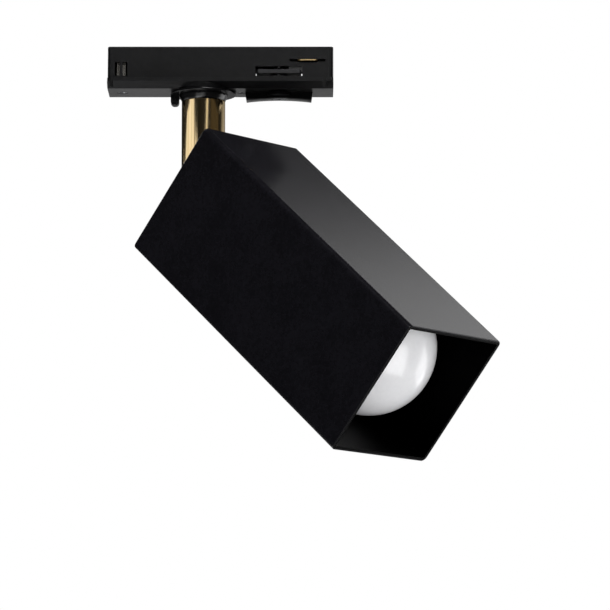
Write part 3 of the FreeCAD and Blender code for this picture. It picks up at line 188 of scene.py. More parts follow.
# CAD nodes.
SLOT_OF = {row["node"]: row["material_slot"] for row in frame["record"]["subparts"]}
FINISH_OF = {"locking_tongue": "tongue_plastic"}
WELD_WITHIN = 0.002 * MM
EASE_SEGMENTS = 2
EASED = {
    "adapter_base": 0.18, "adapter_cover": 0.15, "locking_lever": 0.35, "locking_tongue": 0.15,
    "back_plate": 0.2, "knuckle": 0.5, "corner_blocks": 0.2, "holder_bracket": 0.15,
    "stem_tube": 0.12, "stem_fork": 0.25, "swivel_disc": 0.12, "swivel_collar": 0.2,
    "grommet": 0.3, "friction_washers": 0.1, "ring_nut": 0.2, "holder_nut": 0.2,
    "holder_sleeve": 0.2, "holder_cap": 0.25, "holder_core": 0.25, "lever_shaft": 0.15,
}


# Camera, floor and light.

def make_camera():
    data = bpy.data.cameras.new("camera")
    data.sensor_width = CAMERA_SENSOR
    data.lens = CAMERA_LENS
    data.clip_end = CAMERA_SEES
    camera = bpy.data.objects.new("camera", data)
    camera.location = CAMERA_AT
    camera.rotation_euler = (math.radians(90 + CAMERA_LOOKS_UP), 0, 0)
    bpy.context.scene.collection.objects.link(camera)
    bpy.context.scene.camera = camera


def make_light(name, azimuth, elevation, distance, width, height, radiance, colour):
    """A soft box that faces the object. Azimuth 0 is on the camera's side and 90 is on the right."""
    data = bpy.data.lights.new(name, "AREA")
    data.shape = "RECTANGLE"
    data.size = width
    data.size_y = height
    data.energy = radiance * width * height * math.pi
    data.color = colour
    light = bpy.data.objects.new(name, data)
    turn = math.radians(azimuth)
    rise = math.radians(elevation)
    level = math.cos(rise)
    away = Vector((math.sin(turn) * level, -math.cos(turn) * level, math.sin(rise)))
    middle = (CAD_BOX[0] + CAD_BOX[1]) / 2
    light.location = middle + away * distance
    light.rotation_euler = away.to_track_quat("Z", "Y").to_euler()
    light.visible_camera = False
    bpy.context.scene.collection.objects.link(light)


def aim_light(name, finishes):
    """Makes a light reach only what has these finishes, or all but the brass."""
    lit = finishes != NOT_BRASS
    chosen = [MATERIALS[finish] for finish in (finishes if lit else BRASS)]
    reach = bpy.data.collections.new(name + "_reach")
    for obj in bpy.context.scene.objects:
        if obj.type == "MESH" and (obj.data.materials[0] in chosen) == lit:
            reach.objects.link(obj)
    bpy.data.objects[name].light_linking.receiver_collection = reach


def make_world():
    """White where the camera looks, and otherwise a dim room that is brighter behind on the right."""
    world = bpy.data.worlds.new("studio")
    bpy.context.scene.world = world
    world.use_nodes = True
    nodes, links = world.node_tree.nodes, world.node_tree.links
    nodes.clear()
    place = nodes.new("ShaderNodeTexCoord")
    facing = nodes.new("ShaderNodeVectorMath")
    facing.operation = "DOT_PRODUCT"
    facing.inputs[1].default_value = ROOM_BRIGHT_WAY
    ramp = nodes.new("ShaderNodeMapRange")
    ramp.inputs["From Min"].default_value = ROOM_BRIGHT_FROM
    ramp.inputs["From Max"].default_value = 1.0
    ramp.inputs["To Min"].default_value = ROOM_DARK
    ramp.inputs["To Max"].default_value = ROOM_BRIGHT
    ramp.interpolation_type = "SMOOTHSTEP"
    room = nodes.new("ShaderNodeBackground")
    seen = nodes.new("ShaderNodeBackground")
    seen.inputs["Color"].default_value = (*WHITE, 1)
    path = nodes.new("ShaderNodeLightPath")
    mix = nodes.new("ShaderNodeMixShader")
    out = nodes.new("ShaderNodeOutputWorld")
    links.new(place.outputs["Generated"], facing.inputs[0])
    links.new(facing.outputs["Value"], ramp.inputs["Value"])
    links.new(ramp.outputs["Result"], room.inputs["Strength"])
    links.new(path.outputs["Is Camera Ray"], mix.inputs[0])
    links.new(room.outputs[0], mix.inputs[1])
    links.new(seen.outputs[0], mix.inputs[2])
    links.new(mix.outputs[0], out.inputs[0])


def make_floor():
    """A plain pale floor, lifted a little where the camera sees it."""
    half = FLOOR_SIZE / 2
    drop = CAD_BOX[0].z - FLOOR_DROP
    mesh = bpy.data.meshes.new("floor")
    corners = [(-half, -half, drop), (half, -half, drop), (half, half, drop), (-half, half, drop)]
    mesh.from_pydata(corners, [], [(0, 1, 2, 3)])
    floor = bpy.data.objects.new("floor", mesh)
    bpy.context.scene.collection.objects.link(floor)
    paint = bpy.data.materials.new("floor_paint")
    paint.use_nodes = True
    shader = paint.node_tree.nodes["Principled BSDF"]
    shader.inputs["Base Color"].default_value = FLOOR_COLOUR
    shader.inputs["Roughness"].default_value = FLOOR_ROUGHNESS
    shader.inputs["Emission Color"].default_value = (*WHITE, 1)
    path = paint.node_tree.nodes.new("ShaderNodeLightPath")
    glow = paint.node_tree.nodes.new("ShaderNodeMath")
    glow.operation = "MULTIPLY"
    glow.inputs[1].default_value = FLOOR_GLOW
    paint.node_tree.links.new(path.outputs["Is Camera Ray"], glow.inputs[0])
    paint.node_tree.links.new(glow.outputs[0], shader.inputs["Emission Strength"])
    mesh.materials.append(paint)


make_camera()
make_world()
make_floor()
bpy.context.scene.view_settings.view_transform = "Standard"
for light_name, light_row in LIGHTS.items():
    make_light(light_name, *light_row[:-1])


# Shared effects, as node groups. Scales are per metre.

CLOUD_SCALE = 60.0
CLOUD_SHARE = 0.45
GRAIN_SCALE = 480.0
GRAIN_SHARE = 0.55
WEAR_GAIN = (1.0, 9.0)
EDGE_SAMPLES = 4
# Painted shade in recesses: ambient occlusion samples, and the occlusion where the painted shade is
# full and where it is none.
SHADE_SAMPLES = 8
SHADE_FULL = 0.35
SHADE_NONE = 0.85
LINE_STRETCH = (5200, 5200, 55)
BAND_STRETCH = (900, 900, 12)
DUST_SCALE = 240.0
DUST_ON_SIDES = 0.15


def new_group(name, inputs, outputs):
    """A shader node group with float inputs {name: value} and outputs, and its two end nodes."""
    group = bpy.data.node_groups.new(name, "ShaderNodeTree")
    for label, value in inputs.items():
        socket = group.interface.new_socket(label, in_out="INPUT", socket_type="NodeSocketFloat")
        socket.default_value = value
    for label in outputs:
        group.interface.new_socket(label, in_out="OUTPUT", socket_type="NodeSocketFloat")
    start = group.nodes.new("NodeGroupInput")
    end = group.nodes.new("NodeGroupOutput")
    return group, start, end


def math_node(tree, kind, a, b=None, clamp=False):
    """A maths node fed by sockets or plain numbers. Returns its output socket."""
    node = tree.nodes.new("ShaderNodeMath")
    node.operation = kind
    node.use_clamp = clamp
    for index, value in enumerate((a, b)):
        if value is None:
            continue
        if isinstance(value, (int, float)):
            node.inputs[index].default_value = value
        else:
            tree.links.new(value, node.inputs[index])
    return node.outputs[0]


def stretched_place(tree, stretch):
    """Object coordinates, multiplied by a stretch on each axis."""
    place = tree.nodes.new("ShaderNodeTexCoord")
    mapping = tree.nodes.new("ShaderNodeMapping")
    mapping.inputs["Scale"].default_value = stretch
    tree.links.new(place.outputs["Object"], mapping.inputs["Vector"])
    return mapping.outputs[0]


def noise_socket(tree, vector, scale, detail, roughness=0.5):
    """A noise texture whose scale is a number or a socket. Returns its output socket."""
    node = tree.nodes.new("ShaderNodeTexNoise")
    node.inputs["Detail"].default_value = detail
    node.inputs["Roughness"].default_value = roughness
    tree.links.new(vector, node.inputs["Vector"])
    if isinstance(scale, (int, float)):
        node.inputs["Scale"].default_value = scale
    else:
        tree.links.new(scale, node.inputs["Scale"])
    return node.outputs[0]


def map_range(tree, value, low, high, to_low, to_high):
    """Spreads a value that runs from low to high over another range."""
    node = tree.nodes.new("ShaderNodeMapRange")
    node.inputs["From Min"].default_value = low
    node.inputs["From Max"].default_value = high
    node.inputs["To Min"].default_value = to_low
    node.inputs["To Max"].default_value = to_high
    tree.links.new(value, node.inputs["Value"])
    return node.outputs["Result"]


def make_pebble_group():
    """Pebbled surface of a powder coat or a moulded skin: coarse peel with a fine grain on it."""
    group, start, end = new_group("pebble", {"Coarse": 700.0, "Fine": 2600.0, "Fine Share": 0.4},
                                  ("Height", "Tone"))
    place = stretched_place(group, (1, 1, 1))
    coarse = noise_socket(group, place, start.outputs["Coarse"], 2.0)
    fine = noise_socket(group, place, start.outputs["Fine"], 3.0, 0.6)
    weighted = math_node(group, "MULTIPLY", fine, start.outputs["Fine Share"])
    group.links.new(math_node(group, "ADD", coarse, weighted), end.inputs["Height"])
    cloud = math_node(group, "MULTIPLY", noise_socket(group, place, CLOUD_SCALE, 3.0, 0.6), CLOUD_SHARE)
    grain = math_node(group, "MULTIPLY", noise_socket(group, place, GRAIN_SCALE, 4.0, 0.7), GRAIN_SHARE)
    group.links.new(math_node(group, "ADD", cloud, grain), end.inputs["Tone"])
    return group


def make_edge_group():
    """Mask of the outer edges, broken up by noise, where a finish is rubbed or thin."""
    sizes = {"Reach": 0.4 * MM, "Cut": 0.35, "Grit": 900.0}
    group, start, end = new_group("edge_wear", sizes, ("Mask",))
    bevel = group.nodes.new("ShaderNodeBevel")
    bevel.samples = EDGE_SAMPLES
    group.links.new(start.outputs["Reach"], bevel.inputs["Radius"])
    geometry = group.nodes.new("ShaderNodeNewGeometry")
    dot = group.nodes.new("ShaderNodeVectorMath")
    dot.operation = "DOT_PRODUCT"
    group.links.new(bevel.outputs[0], dot.inputs[0])
    group.links.new(geometry.outputs["Normal"], dot.inputs[1])
    turned = math_node(group, "SUBTRACT", 1.0, dot.outputs["Value"])
    grit = noise_socket(group, stretched_place(group, (1, 1, 1)), start.outputs["Grit"], 3.0)
    broken = math_node(group, "MULTIPLY", turned, map_range(group, grit, 0.3, 0.7, *WEAR_GAIN))
    group.links.new(math_node(group, "MULTIPLY", broken, start.outputs["Cut"], clamp=True),
                    end.inputs["Mask"])
    return group


def make_painted_shade_group():
    """Mask of slots, seams and inside corners, where ambient occlusion finds little open space: painted
    shade.
    """
    group, start, end = new_group("painted_shade", {"Reach": 3.0 * MM}, ("Mask",))
    shade = group.nodes.new("ShaderNodeAmbientOcclusion")
    shade.samples = SHADE_SAMPLES
    group.links.new(start.outputs["Reach"], shade.inputs["Distance"])
    mask = map_range(group, shade.outputs["AO"], SHADE_FULL, SHADE_NONE, 1.0, 0.0)
    group.links.new(mask, end.inputs["Mask"])
    return group


def make_inside_group():
    """Mask of the inner walls of the square tube, which are matt black and are painted near black,
    darker than the outside, as painted shade inside the tube.
    """
    group, start, end = new_group("tube_inside", {"Half": TUBE_INNER + TUBE_WALL / 2}, ("Mask",))
    place = group.nodes.new("ShaderNodeTexCoord")
    from_axis = group.nodes.new("ShaderNodeVectorMath")
    from_axis.operation = "SUBTRACT"
    from_axis.inputs[1].default_value = PIVOT
    group.links.new(place.outputs["Object"], from_axis.inputs[0])
    within = []
    for way in (HINGE, ACROSS):
        reach = group.nodes.new("ShaderNodeVectorMath")
        reach.operation = "DOT_PRODUCT"
        reach.inputs[1].default_value = way
        group.links.new(from_axis.outputs[0], reach.inputs[0])
        size = math_node(group, "ABSOLUTE", reach.outputs["Value"])
        within.append(math_node(group, "LESS_THAN", size, start.outputs["Half"]))
    group.links.new(math_node(group, "MULTIPLY", within[0], within[1]), end.inputs["Mask"])
    return group


def make_drawn_group():
    """Fine lines along the Z axis, as on drawn and satined tube."""
    group, start, end = new_group("drawn_lines", {"Scale": 1.0}, ("Height", "Tone"))
    lines = noise_socket(group, stretched_place(group, LINE_STRETCH), start.outputs["Scale"], 2.0)
    bands = noise_socket(group, stretched_place(group, BAND_STRETCH), start.outputs["Scale"], 3.0)
    group.links.new(lines, end.inputs["Height"])
    group.links.new(bands, end.inputs["Tone"])
    return group


def make_dust_group():
    """Soft mask of dust, thicker on faces that look up."""
    group, start, end = new_group("dust", {"Amount": 0.06}, ("Mask",))
    geometry = group.nodes.new("ShaderNodeNewGeometry")
    split = group.nodes.new("ShaderNodeSeparateXYZ")
    group.links.new(geometry.outputs["Normal"], split.inputs[0])
    upward = map_range(group, split.outputs["Z"], 0.2, 1.0, DUST_ON_SIDES, 1.0)
    cloud = noise_socket(group, stretched_place(group, (1, 1, 1)), DUST_SCALE, 6.0, 0.7)
    patch = map_range(group, cloud, 0.42, 0.75, 0.0, 1.0)
    spread = math_node(group, "MULTIPLY", upward, patch)
    group.links.new(math_node(group, "MULTIPLY", spread, start.outputs["Amount"], clamp=True),
                    end.inputs["Mask"])
    return group


PEBBLE = make_pebble_group()
EDGE = make_edge_group()
DRAWN = make_drawn_group()
DUST = make_dust_group()
PAINTED_SHADE = make_painted_shade_group()
INSIDE = make_inside_group()
MATERIALS = {}
SKIN_TONE = (0.38, 0.64)
SKIN_GLOSS = (0.88, 1.12)
METAL_TONE = (0.4, 0.8)
METAL_GLOSS = (0.8, 1.25)
METAL_FINE = 4000.0
PLASTIC_SPECULAR = 0.36
BRASS_TONE = (0.42, 0.72)
BRASS_GLOSS = (0.13, 0.22)
WORN_EDGE = 0.35 * MM
# How dark the painted shade in recesses is, as a share of the finish's own colour.
SHADE_SHARE = 0.12
DUST_COLOUR = (0.32, 0.31, 0.29)
COAT_ROUGHNESS = 0.24
# The tube's inner walls: their roughness, and a near-black colour that is painted shade.
INSIDE_ROUGHNESS = 0.50
INSIDE_SHADE_COLOUR = (0.0008, 0.0008, 0.0010)
INSULATION = {
    "brown_insulation": (0.085, 0.03, 0.012), "blue_insulation": (0.012, 0.06, 0.23),
    "green_insulation": (0.03, 0.20, 0.03), "white_insulation": (0.68, 0.68, 0.66),
}


class Finish:
    """A material whose parts are added one at a time to one Principled shader."""

    def __init__(self, name, colour, roughness, metallic=0.0):
        self.material = bpy.data.materials.new(name)
        self.material.use_nodes = True
        self.tree = self.material.node_tree
        self.shader = self.tree.nodes["Principled BSDF"]
        self.shader.inputs["Base Color"].default_value = (*colour, 1)
        self.shader.inputs["Roughness"].default_value = roughness
        self.shader.inputs["Metallic"].default_value = metallic
        self.colour = None
        self.base = colour
        MATERIALS[name] = self.material

    def set(self, socket, value):
        self.shader.inputs[socket].default_value = value
        return self

    def group(self, group, values):
        node = self.tree.nodes.new("ShaderNodeGroup")
        node.node_tree = group
        for label, value in values.items():
            node.inputs[label].default_value = value
        return node

    def tint(self, mask, colour, low=0.0, high=1.0):
        """Mixes another colour in where a mask runs from low to high."""
        mix = self.tree.nodes.new("ShaderNodeMix")
        mix.data_type = "RGBA"
        mix.inputs["A"].default_value = (*self.base, 1)
        if self.colour is not None:
            self.tree.links.new(self.colour, mix.inputs["A"])
        mix.inputs["B"].default_value = (*colour, 1)
        self.tree.links.new(map_range(self.tree, mask, low, high, 0.0, 1.0), mix.inputs["Factor"])
        self.colour = mix.outputs["Result"]
        self.tree.links.new(self.colour, self.shader.inputs["Base Color"])
        return self

    def rough(self, mask, low, high, to_low, to_high):
        self.tree.links.new(map_range(self.tree, mask, low, high, to_low, to_high),
                            self.shader.inputs["Roughness"])
        return self

    def bump(self, height, depth):
        node = self.tree.nodes.new("ShaderNodeBump")
        node.inputs["Distance"].default_value = depth
        node.inputs["Strength"].default_value = 1.0
        self.tree.links.new(height, node.inputs["Height"])
        self.tree.links.new(node.outputs[0], self.shader.inputs["Normal"])
        return self


def moulded(name, colour, lighter, roughness, peel, coarse=1400.0, fine=5200.0,
            edge=None, dust=0.0, shade=0.0):
    """A moulded or coated finish: pebbled skin, cloudy tone, painted shade in recesses, worn edges and
    a little dust.
    """
    finish = Finish(name, colour, roughness)
    skin = finish.group(PEBBLE, {"Coarse": coarse, "Fine": fine})
    finish.tint(skin.outputs["Tone"], lighter, *SKIN_TONE)
    finish.rough(skin.outputs["Tone"], 0.3, 0.7, *(roughness * share for share in SKIN_GLOSS))
    finish.bump(skin.outputs["Height"], peel)
    # Painted shade: the colour goes darker in slots, seams and inside corners.
    if shade:
        painted_shade_node = finish.group(PAINTED_SHADE, {"Reach": shade})
        finish.tint(painted_shade_node.outputs["Mask"], tuple(c * SHADE_SHARE for c in colour))
    if edge is not None:
        wear = finish.group(EDGE, {"Reach": WORN_EDGE})
        finish.tint(wear.outputs["Mask"], edge)
    if dust:
        veil = finish.group(DUST, {"Amount": dust})
        finish.tint(veil.outputs["Mask"], DUST_COLOUR)
    return finish


def metal(name, colour, darker, roughness, coarse=500.0, peel=0.01 * MM):
    """Plated or bare metal: cloudy tone and slight unevenness."""
    finish = Finish(name, colour, roughness, 1.0)
    skin = finish.group(PEBBLE, {"Coarse": coarse, "Fine": METAL_FINE})
    finish.tint(skin.outputs["Tone"], darker, *METAL_TONE)
    finish.rough(skin.outputs["Tone"], 0.3, 0.7, *(roughness * share for share in METAL_GLOSS))
    finish.bump(skin.outputs["Height"], peel)
    return finish


def make_materials():
    """Every finish of the spotlight: one for each of the record's slots, and one for the tongue."""
    # The two black plastics carry painted shade in their recesses, reaching as far as their shade
    # argument.
    plastic = moulded("black_plastic", (0.0030, 0.0030, 0.0036), (0.0060, 0.0061, 0.0071), 0.37,
                      0.022 * MM, edge=(0.030, 0.031, 0.034), dust=0.02, shade=3.0 * MM)
    plastic.set("Specular IOR Level", PLASTIC_SPECULAR)
    moulded("tongue_plastic", (0.034, 0.034, 0.037), (0.052, 0.052, 0.057), 0.42, 0.02 * MM,
            edge=(0.07, 0.07, 0.075))
    moulded("gloss_black_plastic", (0.0045, 0.0045, 0.0050), (0.0075, 0.0075, 0.0080), 0.24, 0.006 * MM,
            edge=(0.02, 0.02, 0.022), shade=2.0 * MM)
    coat = moulded("black_powder_coat", (0.0105, 0.0099, 0.0135), (0.0200, 0.0190, 0.0255),
                   COAT_ROUGHNESS, 0.008 * MM, 620.0, 2600.0)
    # Painted shade inside the tube: near-black colour, more roughness, and a metallic value that takes
    # the coat's sheen away there.
    inside = coat.group(INSIDE, {}).outputs["Mask"]
    coat.tint(inside, INSIDE_SHADE_COLOUR)
    coat.rough(inside, 0.0, 1.0, COAT_ROUGHNESS, INSIDE_ROUGHNESS)
    coat.tree.links.new(inside, coat.shader.inputs["Metallic"])
    brass = Finish("satin_brass", (0.92, 0.71, 0.41), 0.2, 1.0)
    lines = brass.group(DRAWN, {})
    brass.tint(lines.outputs["Tone"], (0.76, 0.54, 0.25), *BRASS_TONE)
    brass.rough(lines.outputs["Height"], 0.3, 0.7, *BRASS_GLOSS)
    brass.bump(lines.outputs["Height"], 0.005 * MM)
    metal("contact_brass", (0.90, 0.68, 0.34), (0.74, 0.50, 0.22), 0.30)
    metal("zinc_steel", (0.62, 0.63, 0.65), (0.45, 0.46, 0.48), 0.30)
    metal("black_steel", (0.035, 0.035, 0.038), (0.02, 0.02, 0.022), 0.36)
    metal("nickel", (0.72, 0.69, 0.63), (0.55, 0.52, 0.47), 0.20)
    moulded("nylon", (0.62, 0.60, 0.54), (0.72, 0.70, 0.64), 0.48, 0.012 * MM)
    moulded("rubber", (0.012, 0.012, 0.012), (0.022, 0.022, 0.022), 0.75, 0.02 * MM, 2200.0)
    for name, colour in INSULATION.items():
        lighter = tuple(min(1.0, c * 1.35 + 0.004) for c in colour)
        moulded(name, colour, lighter, 0.38, 0.006 * MM, 300.0)
    moulded("black_bakelite", (0.010, 0.008, 0.007), (0.020, 0.016, 0.013), 0.22, 0.008 * MM, 400.0)
    moulded("ceramic_white", (0.72, 0.71, 0.68), (0.80, 0.79, 0.77), 0.30, 0.01 * MM, 500.0)
    opal = moulded("opal", (0.80, 0.80, 0.83), (0.84, 0.84, 0.87), 0.20, 0.004 * MM, 120.0)
    opal.set("Subsurface Weight", 0.35)
    opal.set("Subsurface Radius", (0.006, 0.006, 0.0065))
    opal.set("Subsurface Scale", 1.0)
    opal.set("Coat Weight", 0.4)
    opal.set("Coat Roughness", 0.08)
    moulded("lamp_white", (0.74, 0.74, 0.73), (0.80, 0.80, 0.79), 0.36, 0.008 * MM)
    moulded("black_glass", (0.006, 0.006, 0.007), (0.012, 0.012, 0.013), 0.12, 0.004 * MM)
    moulded("led_board_white", (0.70, 0.71, 0.70), (0.78, 0.78, 0.77), 0.4, 0.008 * MM)


make_materials()


# Fine pieces, turned about an axis and placed by the CAD model's own points.

def node_points(name):
    """The corner points of a CAD node."""
    node = frame["nodes"][name]
    flat = np.empty(len(node.data.vertices) * 3)
    node.data.vertices.foreach_get("co", flat)
    return flat.reshape(-1, 3)


def separate_solids(name):
    """The corner points of each separate solid in a CAD node."""
    mesh = bmesh.new()
    mesh.from_mesh(frame["nodes"][name].data)
    bmesh.ops.remove_doubles(mesh, verts=mesh.verts, dist=WELD_WITHIN)
    left = set(mesh.verts)
    solids = []
    while left:
        stack = [left.pop()]
        solid = []
        while stack:
            corner = stack.pop()
            solid.append(tuple(corner.co))
            for edge in corner.link_edges:
                other = edge.other_vert(corner)
                if other in left:
                    left.remove(other)
                    stack.append(other)
        solids.append(np.array(solid))
    mesh.free()
    return sorted(solids, key=lambda points: tuple(points.mean(0).round(4)))


def axes_along(way):
    """A right-handed frame whose Z axis is the given way."""
    return Vector(way).to_track_quat("Z", "Y").to_matrix()


def hex_reach(turn):
    """How far a hexagon reaches at a turn about its middle, for an inner radius of 1."""
    return 1 / math.cos((turn + math.pi / 6) % (math.pi / 3) - math.pi / 6)


def add_turned(mesh, outline, origin, axes, segments, thread=None):
    """Adds a turned solid to a bmesh. The outline is (radius, height, shape) from axis to axis, where
    the shape is round or hex. A thread is (start, end, pitch, depth), cut as a real helix."""
    rings = []
    for radius, height, shape in outline:
        if radius == 0:
            rings.append([mesh.verts.new(origin + axes @ Vector((0, 0, height)))])
            continue
        ring = []
        for index in range(segments):
            turn = 2 * math.pi * index / segments
            reach = radius * (hex_reach(turn) if shape == "hex" else 1)
            if thread and thread[0] < height < thread[1]:
                phase = 2 * math.pi * (height / thread[2] - index / segments)
                reach -= thread[3] * (0.5 - 0.5 * math.cos(phase))
            place = Vector((reach * math.cos(turn), reach * math.sin(turn), height))
            ring.append(mesh.verts.new(origin + axes @ place))
        rings.append(ring)
    for low, high in zip(rings, rings[1:]):
        for index in range(segments):
            after = (index + 1) % segments
            if len(low) == 1:
                mesh.faces.new((low[0], high[after], high[index]))
            elif len(high) == 1:
                mesh.faces.new((low[index], low[after], high[0]))
            else:
                mesh.faces.new((low[index], low[after], high[after], high[index]))


def finish_piece(name, mesh, slot, body, replaced, smooth_below=SMOOTH_BELOW):
    """Turns a bmesh into a piece with its finish, its body and the CAD node that it stands for."""
    bmesh.ops.recalc_face_normals(mesh, faces=mesh.faces)
    for face in mesh.faces:
        face.smooth = True
    limit = math.radians(smooth_below)
    for edge in mesh.edges:
        if len(edge.link_faces) == 2 and edge.calc_face_angle() > limit:
            edge.smooth = False
    data = bpy.data.meshes.new(name)
    mesh.to_mesh(data)
    mesh.free()
    piece = bpy.data.objects.new(name, data)
    bpy.context.scene.collection.objects.link(piece)
    data.materials.append(MATERIALS[slot])
    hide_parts(replaced)
    if body:
        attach(piece, body)
    return piece


def thread_rows(start, end, radius, step):
    """Outline rows along a thread, close enough together to carry its shape."""
    count = max(2, round((end - start) / step))
    return [(radius, start + (end - start) * index / count, "round") for index in range(count + 1)]


def make_screws(node, way, slot, body, pitch):
    """Screws with a hexagon socket and a real thread, each where the CAD model has its screw."""
    axes = axes_along(way)
    back = axes.transposed()
    mesh = bmesh.new()
    for points in separate_solids(node):
        local = np.array([back @ Vector(point) for point in points])
        middle = (local[:, :2].min(0) + local[:, :2].max(0)) / 2
        reach = np.hypot(*(local[:, :2] - middle).T)
        start, end = local[:, 2].min(), local[:, 2].max()
        head_r = reach.max()
        shank_r = reach[local[:, 2] > end - 0.1 * MM].max()
        on_head = local[reach > 0.97 * head_r][:, 2].max()
        on_shank = local[abs(reach - shank_r) < 0.03 * shank_r][:, 2].min()
        origin = axes @ Vector((*middle, start))
        neck = on_shank - start
        rim = on_head - start
        deep = SOCKET_DEEP * neck
        socket = SOCKET_WIDE * head_r
        length = end - start
        outline = [(0, deep, "round"), (socket, deep, "hex"), (socket, SCREW_EASE, "hex"),
                   (socket + SCREW_EASE, 0, "hex"), (head_r - SCREW_EASE, 0, "round"),
                   (head_r, SCREW_EASE, "round")]
        if rim > 2 * SCREW_EASE:
            outline += [(head_r, rim, "round"), (shank_r, rim, "round")]
        last = length - THREAD_END * pitch
        outline += thread_rows(max(neck, 2 * SCREW_EASE), last, shank_r, pitch / THREAD_STEPS)
        outline += [(shank_r * SHANK_TIP, length, "round"), (0, length, "round")]
        thread = (neck + THREAD_RUN_IN * pitch, last, pitch, THREAD_DEPTH * pitch)
        add_turned(mesh, outline, origin, axes, SCREW_SEGMENTS, thread)
    finish_piece(node + "_detailed", mesh, slot, body, node)


def make_globe():
    """The opal globe, an even shell whose rim sits on the lamp's body."""
    points = (node_points("lamp_globe") - np.array(PIVOT)) @ np.array(HEAD_AXES)
    rim, front = points[:, 2].min(), points[:, 2].max()
    radius = points[:, :2].max()
    centre = front - radius
    inner = radius - GLOBE_WALL
    start = math.asin((rim - centre) / radius)
    start_in = math.asin((rim - centre) / inner)
    outline = [(0, centre + inner, "round")]
    for index in range(1, GLOBE_STEPS + 1):
        turn = math.pi / 2 + (start_in - math.pi / 2) * index / GLOBE_STEPS
        outline.append((inner * math.cos(turn), centre + inner * math.sin(turn), "round"))
    for index in range(GLOBE_STEPS):
        turn = start + (math.pi / 2 - start) * index / GLOBE_STEPS
        outline.append((radius * math.cos(turn), centre + radius * math.sin(turn), "round"))
    outline.append((0, centre + radius, "round"))
    mesh = bmesh.new()
    add_turned(mesh, outline, PIVOT, HEAD_AXES, GLOBE_SEGMENTS)
    finish_piece("opal_globe", mesh, "opal", "lamp", "lamp_globe", 50)


def smooth_route(points, count):
    """Points along a curve with the given control points, started and ended on them."""
    curve = bpy.data.curves.new("route", "CURVE")
    curve.dimensions = "3D"
    spline = curve.splines.new("NURBS")
    spline.points.add(len(points) - 1)
    for point, place in zip(spline.points, points):
        point.co = (*place, 1)
    spline.order_u = 3
    spline.use_endpoint_u = True
    spline.resolution_u = count
    holder = bpy.data.objects.new("route", curve)
    bpy.context.scene.collection.objects.link(holder)
    mesh = bpy.data.meshes.new_from_object(holder)
    route = [vertex.co.copy() for vertex in mesh.vertices]
    bpy.data.objects.remove(holder)
    bpy.data.curves.remove(curve)
    bpy.data.meshes.remove(mesh)
    return route


def add_swept(mesh, route, side, segments, reach_at):
    """Adds a closed tube along a route. The radius at each point is reach_at(turn, travelled)."""
    rings = []
    side = Vector(side)
    travelled = 0.0
    for index, place in enumerate(route):
        after = route[min(index + 1, len(route) - 1)]
        ahead = (after - route[max(index - 1, 0)]).normalized()
        side = (side - ahead * side.dot(ahead)).normalized()
        across = ahead.cross(side)
        if index:
            travelled += (place - route[index - 1]).length
        ring = []
        for step in range(segments):
            turn = 2 * math.pi * step / segments
            reach = reach_at(turn, travelled)
            ring.append(mesh.verts.new(place + side * reach * math.cos(turn)
                                       + across * reach * math.sin(turn)))
        rings.append(ring)
    for low, high in zip(rings, rings[1:]):
        for step in range(segments):
            after = (step + 1) % segments
            mesh.faces.new((low[step], low[after], high[after], high[step]))
    mesh.faces.new(rings[0])
    mesh.faces.new(rings[-1])


def braid_reach(turn, travelled):
    """The radius of a braided sleeve, with its strands crossed both ways."""
    lay = travelled / SLEEVE_LAY * 2 * math.pi
    weave = max(math.cos(SLEEVE_STRANDS * turn + lay), math.cos(SLEEVE_STRANDS * turn - lay))
    return SLEEVE_R - SLEEVE_WEAVE * (1 - weave)


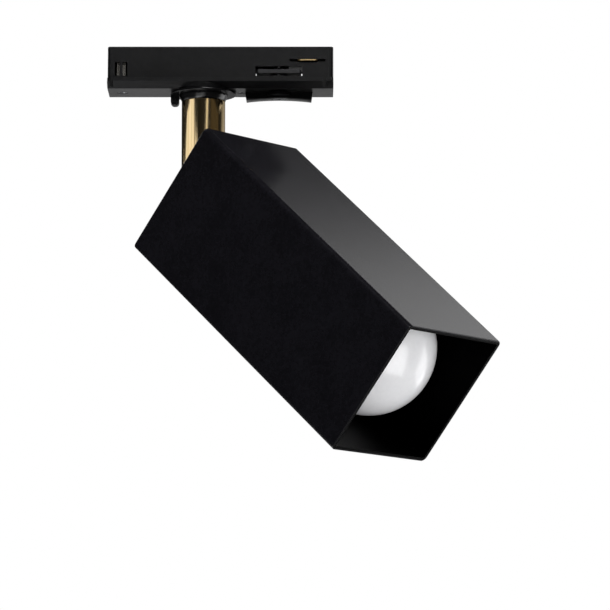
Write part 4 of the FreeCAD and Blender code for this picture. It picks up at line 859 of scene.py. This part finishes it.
def make_spring(node):
    """A coil spring with closed flat ends behind a side contact."""
    points = node_points(node)
    low, high = points.min(0), points.max(0)
    middle = (low + high) / 2
    outward = 1 if middle[1] > 0 else -1
    wall, far = (low[1], high[1]) if outward > 0 else (high[1], low[1])
    length = abs(far - wall)
    radius = (high[0] - low[0]) / 2 - SPRING_WIRE_R
    rise = length - 2 * SPRING_WIRE_R
    count = round(SPRING_COILS * SPRING_STEPS)
    route = []
    for index in range(count + 1):
        share = index / count
        turn = 2 * math.pi * SPRING_COILS * share
        eased = min(1.0, max(0.0, (share - SPRING_FLAT) / (1 - 2 * SPRING_FLAT)))
        climb = rise * (SPRING_FLAT_RISE * share + (1 - SPRING_FLAT_RISE) * eased)
        along = wall + outward * (SPRING_WIRE_R + climb)
        route.append(Vector((middle[0] + radius * math.cos(turn), along,
                             middle[2] + radius * math.sin(turn))))
    mesh = bmesh.new()
    add_swept(mesh, route, (1, 0, 0), SPRING_WIRE_SEGMENTS, lambda turn, travelled: SPRING_WIRE_R)
    piece = finish_piece(node + "_detailed", mesh, SLOT_OF[node], "adapter", node, 50)
    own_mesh(piece)


def make_sleeve():
    """The braided sleeve over the leads: crossed strands round a tube bent from the stem's axis towards
    the head.
    """
    top = PIVOT + Vector((0, 0, SLEEVE_TOP))
    bend = PIVOT + Vector((0, 0, SLEEVE_BEND_AT))
    before = PIVOT + ACROSS * SLEEVE_SIDE + BEAM * SLEEVE_BEFORE_PLATE
    into = PIVOT + ACROSS * SLEEVE_SIDE + BEAM * SLEEVE_IN_PLATE
    mesh = bmesh.new()
    route = smooth_route([top, bend, before, into], SLEEVE_STEPS)
    add_swept(mesh, route, HINGE, ROUND_SEGMENTS, braid_reach)
    piece = finish_piece("braided_sleeve", mesh, SLOT_OF["knuckle_sleeve"], None, "knuckle_sleeve", 60)
    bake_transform(piece)


make_globe()
make_sleeve()
make_spring("live_contact_spring")
make_spring("neutral_contact_spring")
for screw_node, screw_way, screw_body, screw_pitch in (
        ("back_plate_screws", BEAM, "head", FINE_PITCH),
        ("knuckle_screws", BEAM, "head", FINE_PITCH),
        ("adapter_screws", (0, 0, 1), "adapter", CASE_PITCH)):
    make_screws(screw_node, screw_way, SLOT_OF[screw_node], screw_body, screw_pitch)


def dress_cad_node(name, obj):
    """Gives a CAD node its finish, and eases its sharp edges with a small bevel."""
    obj.data.materials.clear()
    obj.data.materials.append(MATERIALS[FINISH_OF.get(name, SLOT_OF[name])])
    if name in EASED:
        weld = obj.modifiers.new("weld", "WELD")
        weld.merge_threshold = WELD_WITHIN
        bevel = obj.modifiers.new("ease", "BEVEL")
        bevel.width = EASED[name] * MM
        bevel.segments = EASE_SEGMENTS
        bevel.limit_method = "ANGLE"
        bevel.angle_limit = math.radians(SMOOTH_BELOW)
        bevel.use_clamp_overlap = True
        bevel.harden_normals = True


for node_name, node in frame["nodes"].items():
    dress_cad_node(node_name, node)


for light_name, light_row in LIGHTS.items():
    aim_light(light_name, light_row[-1])
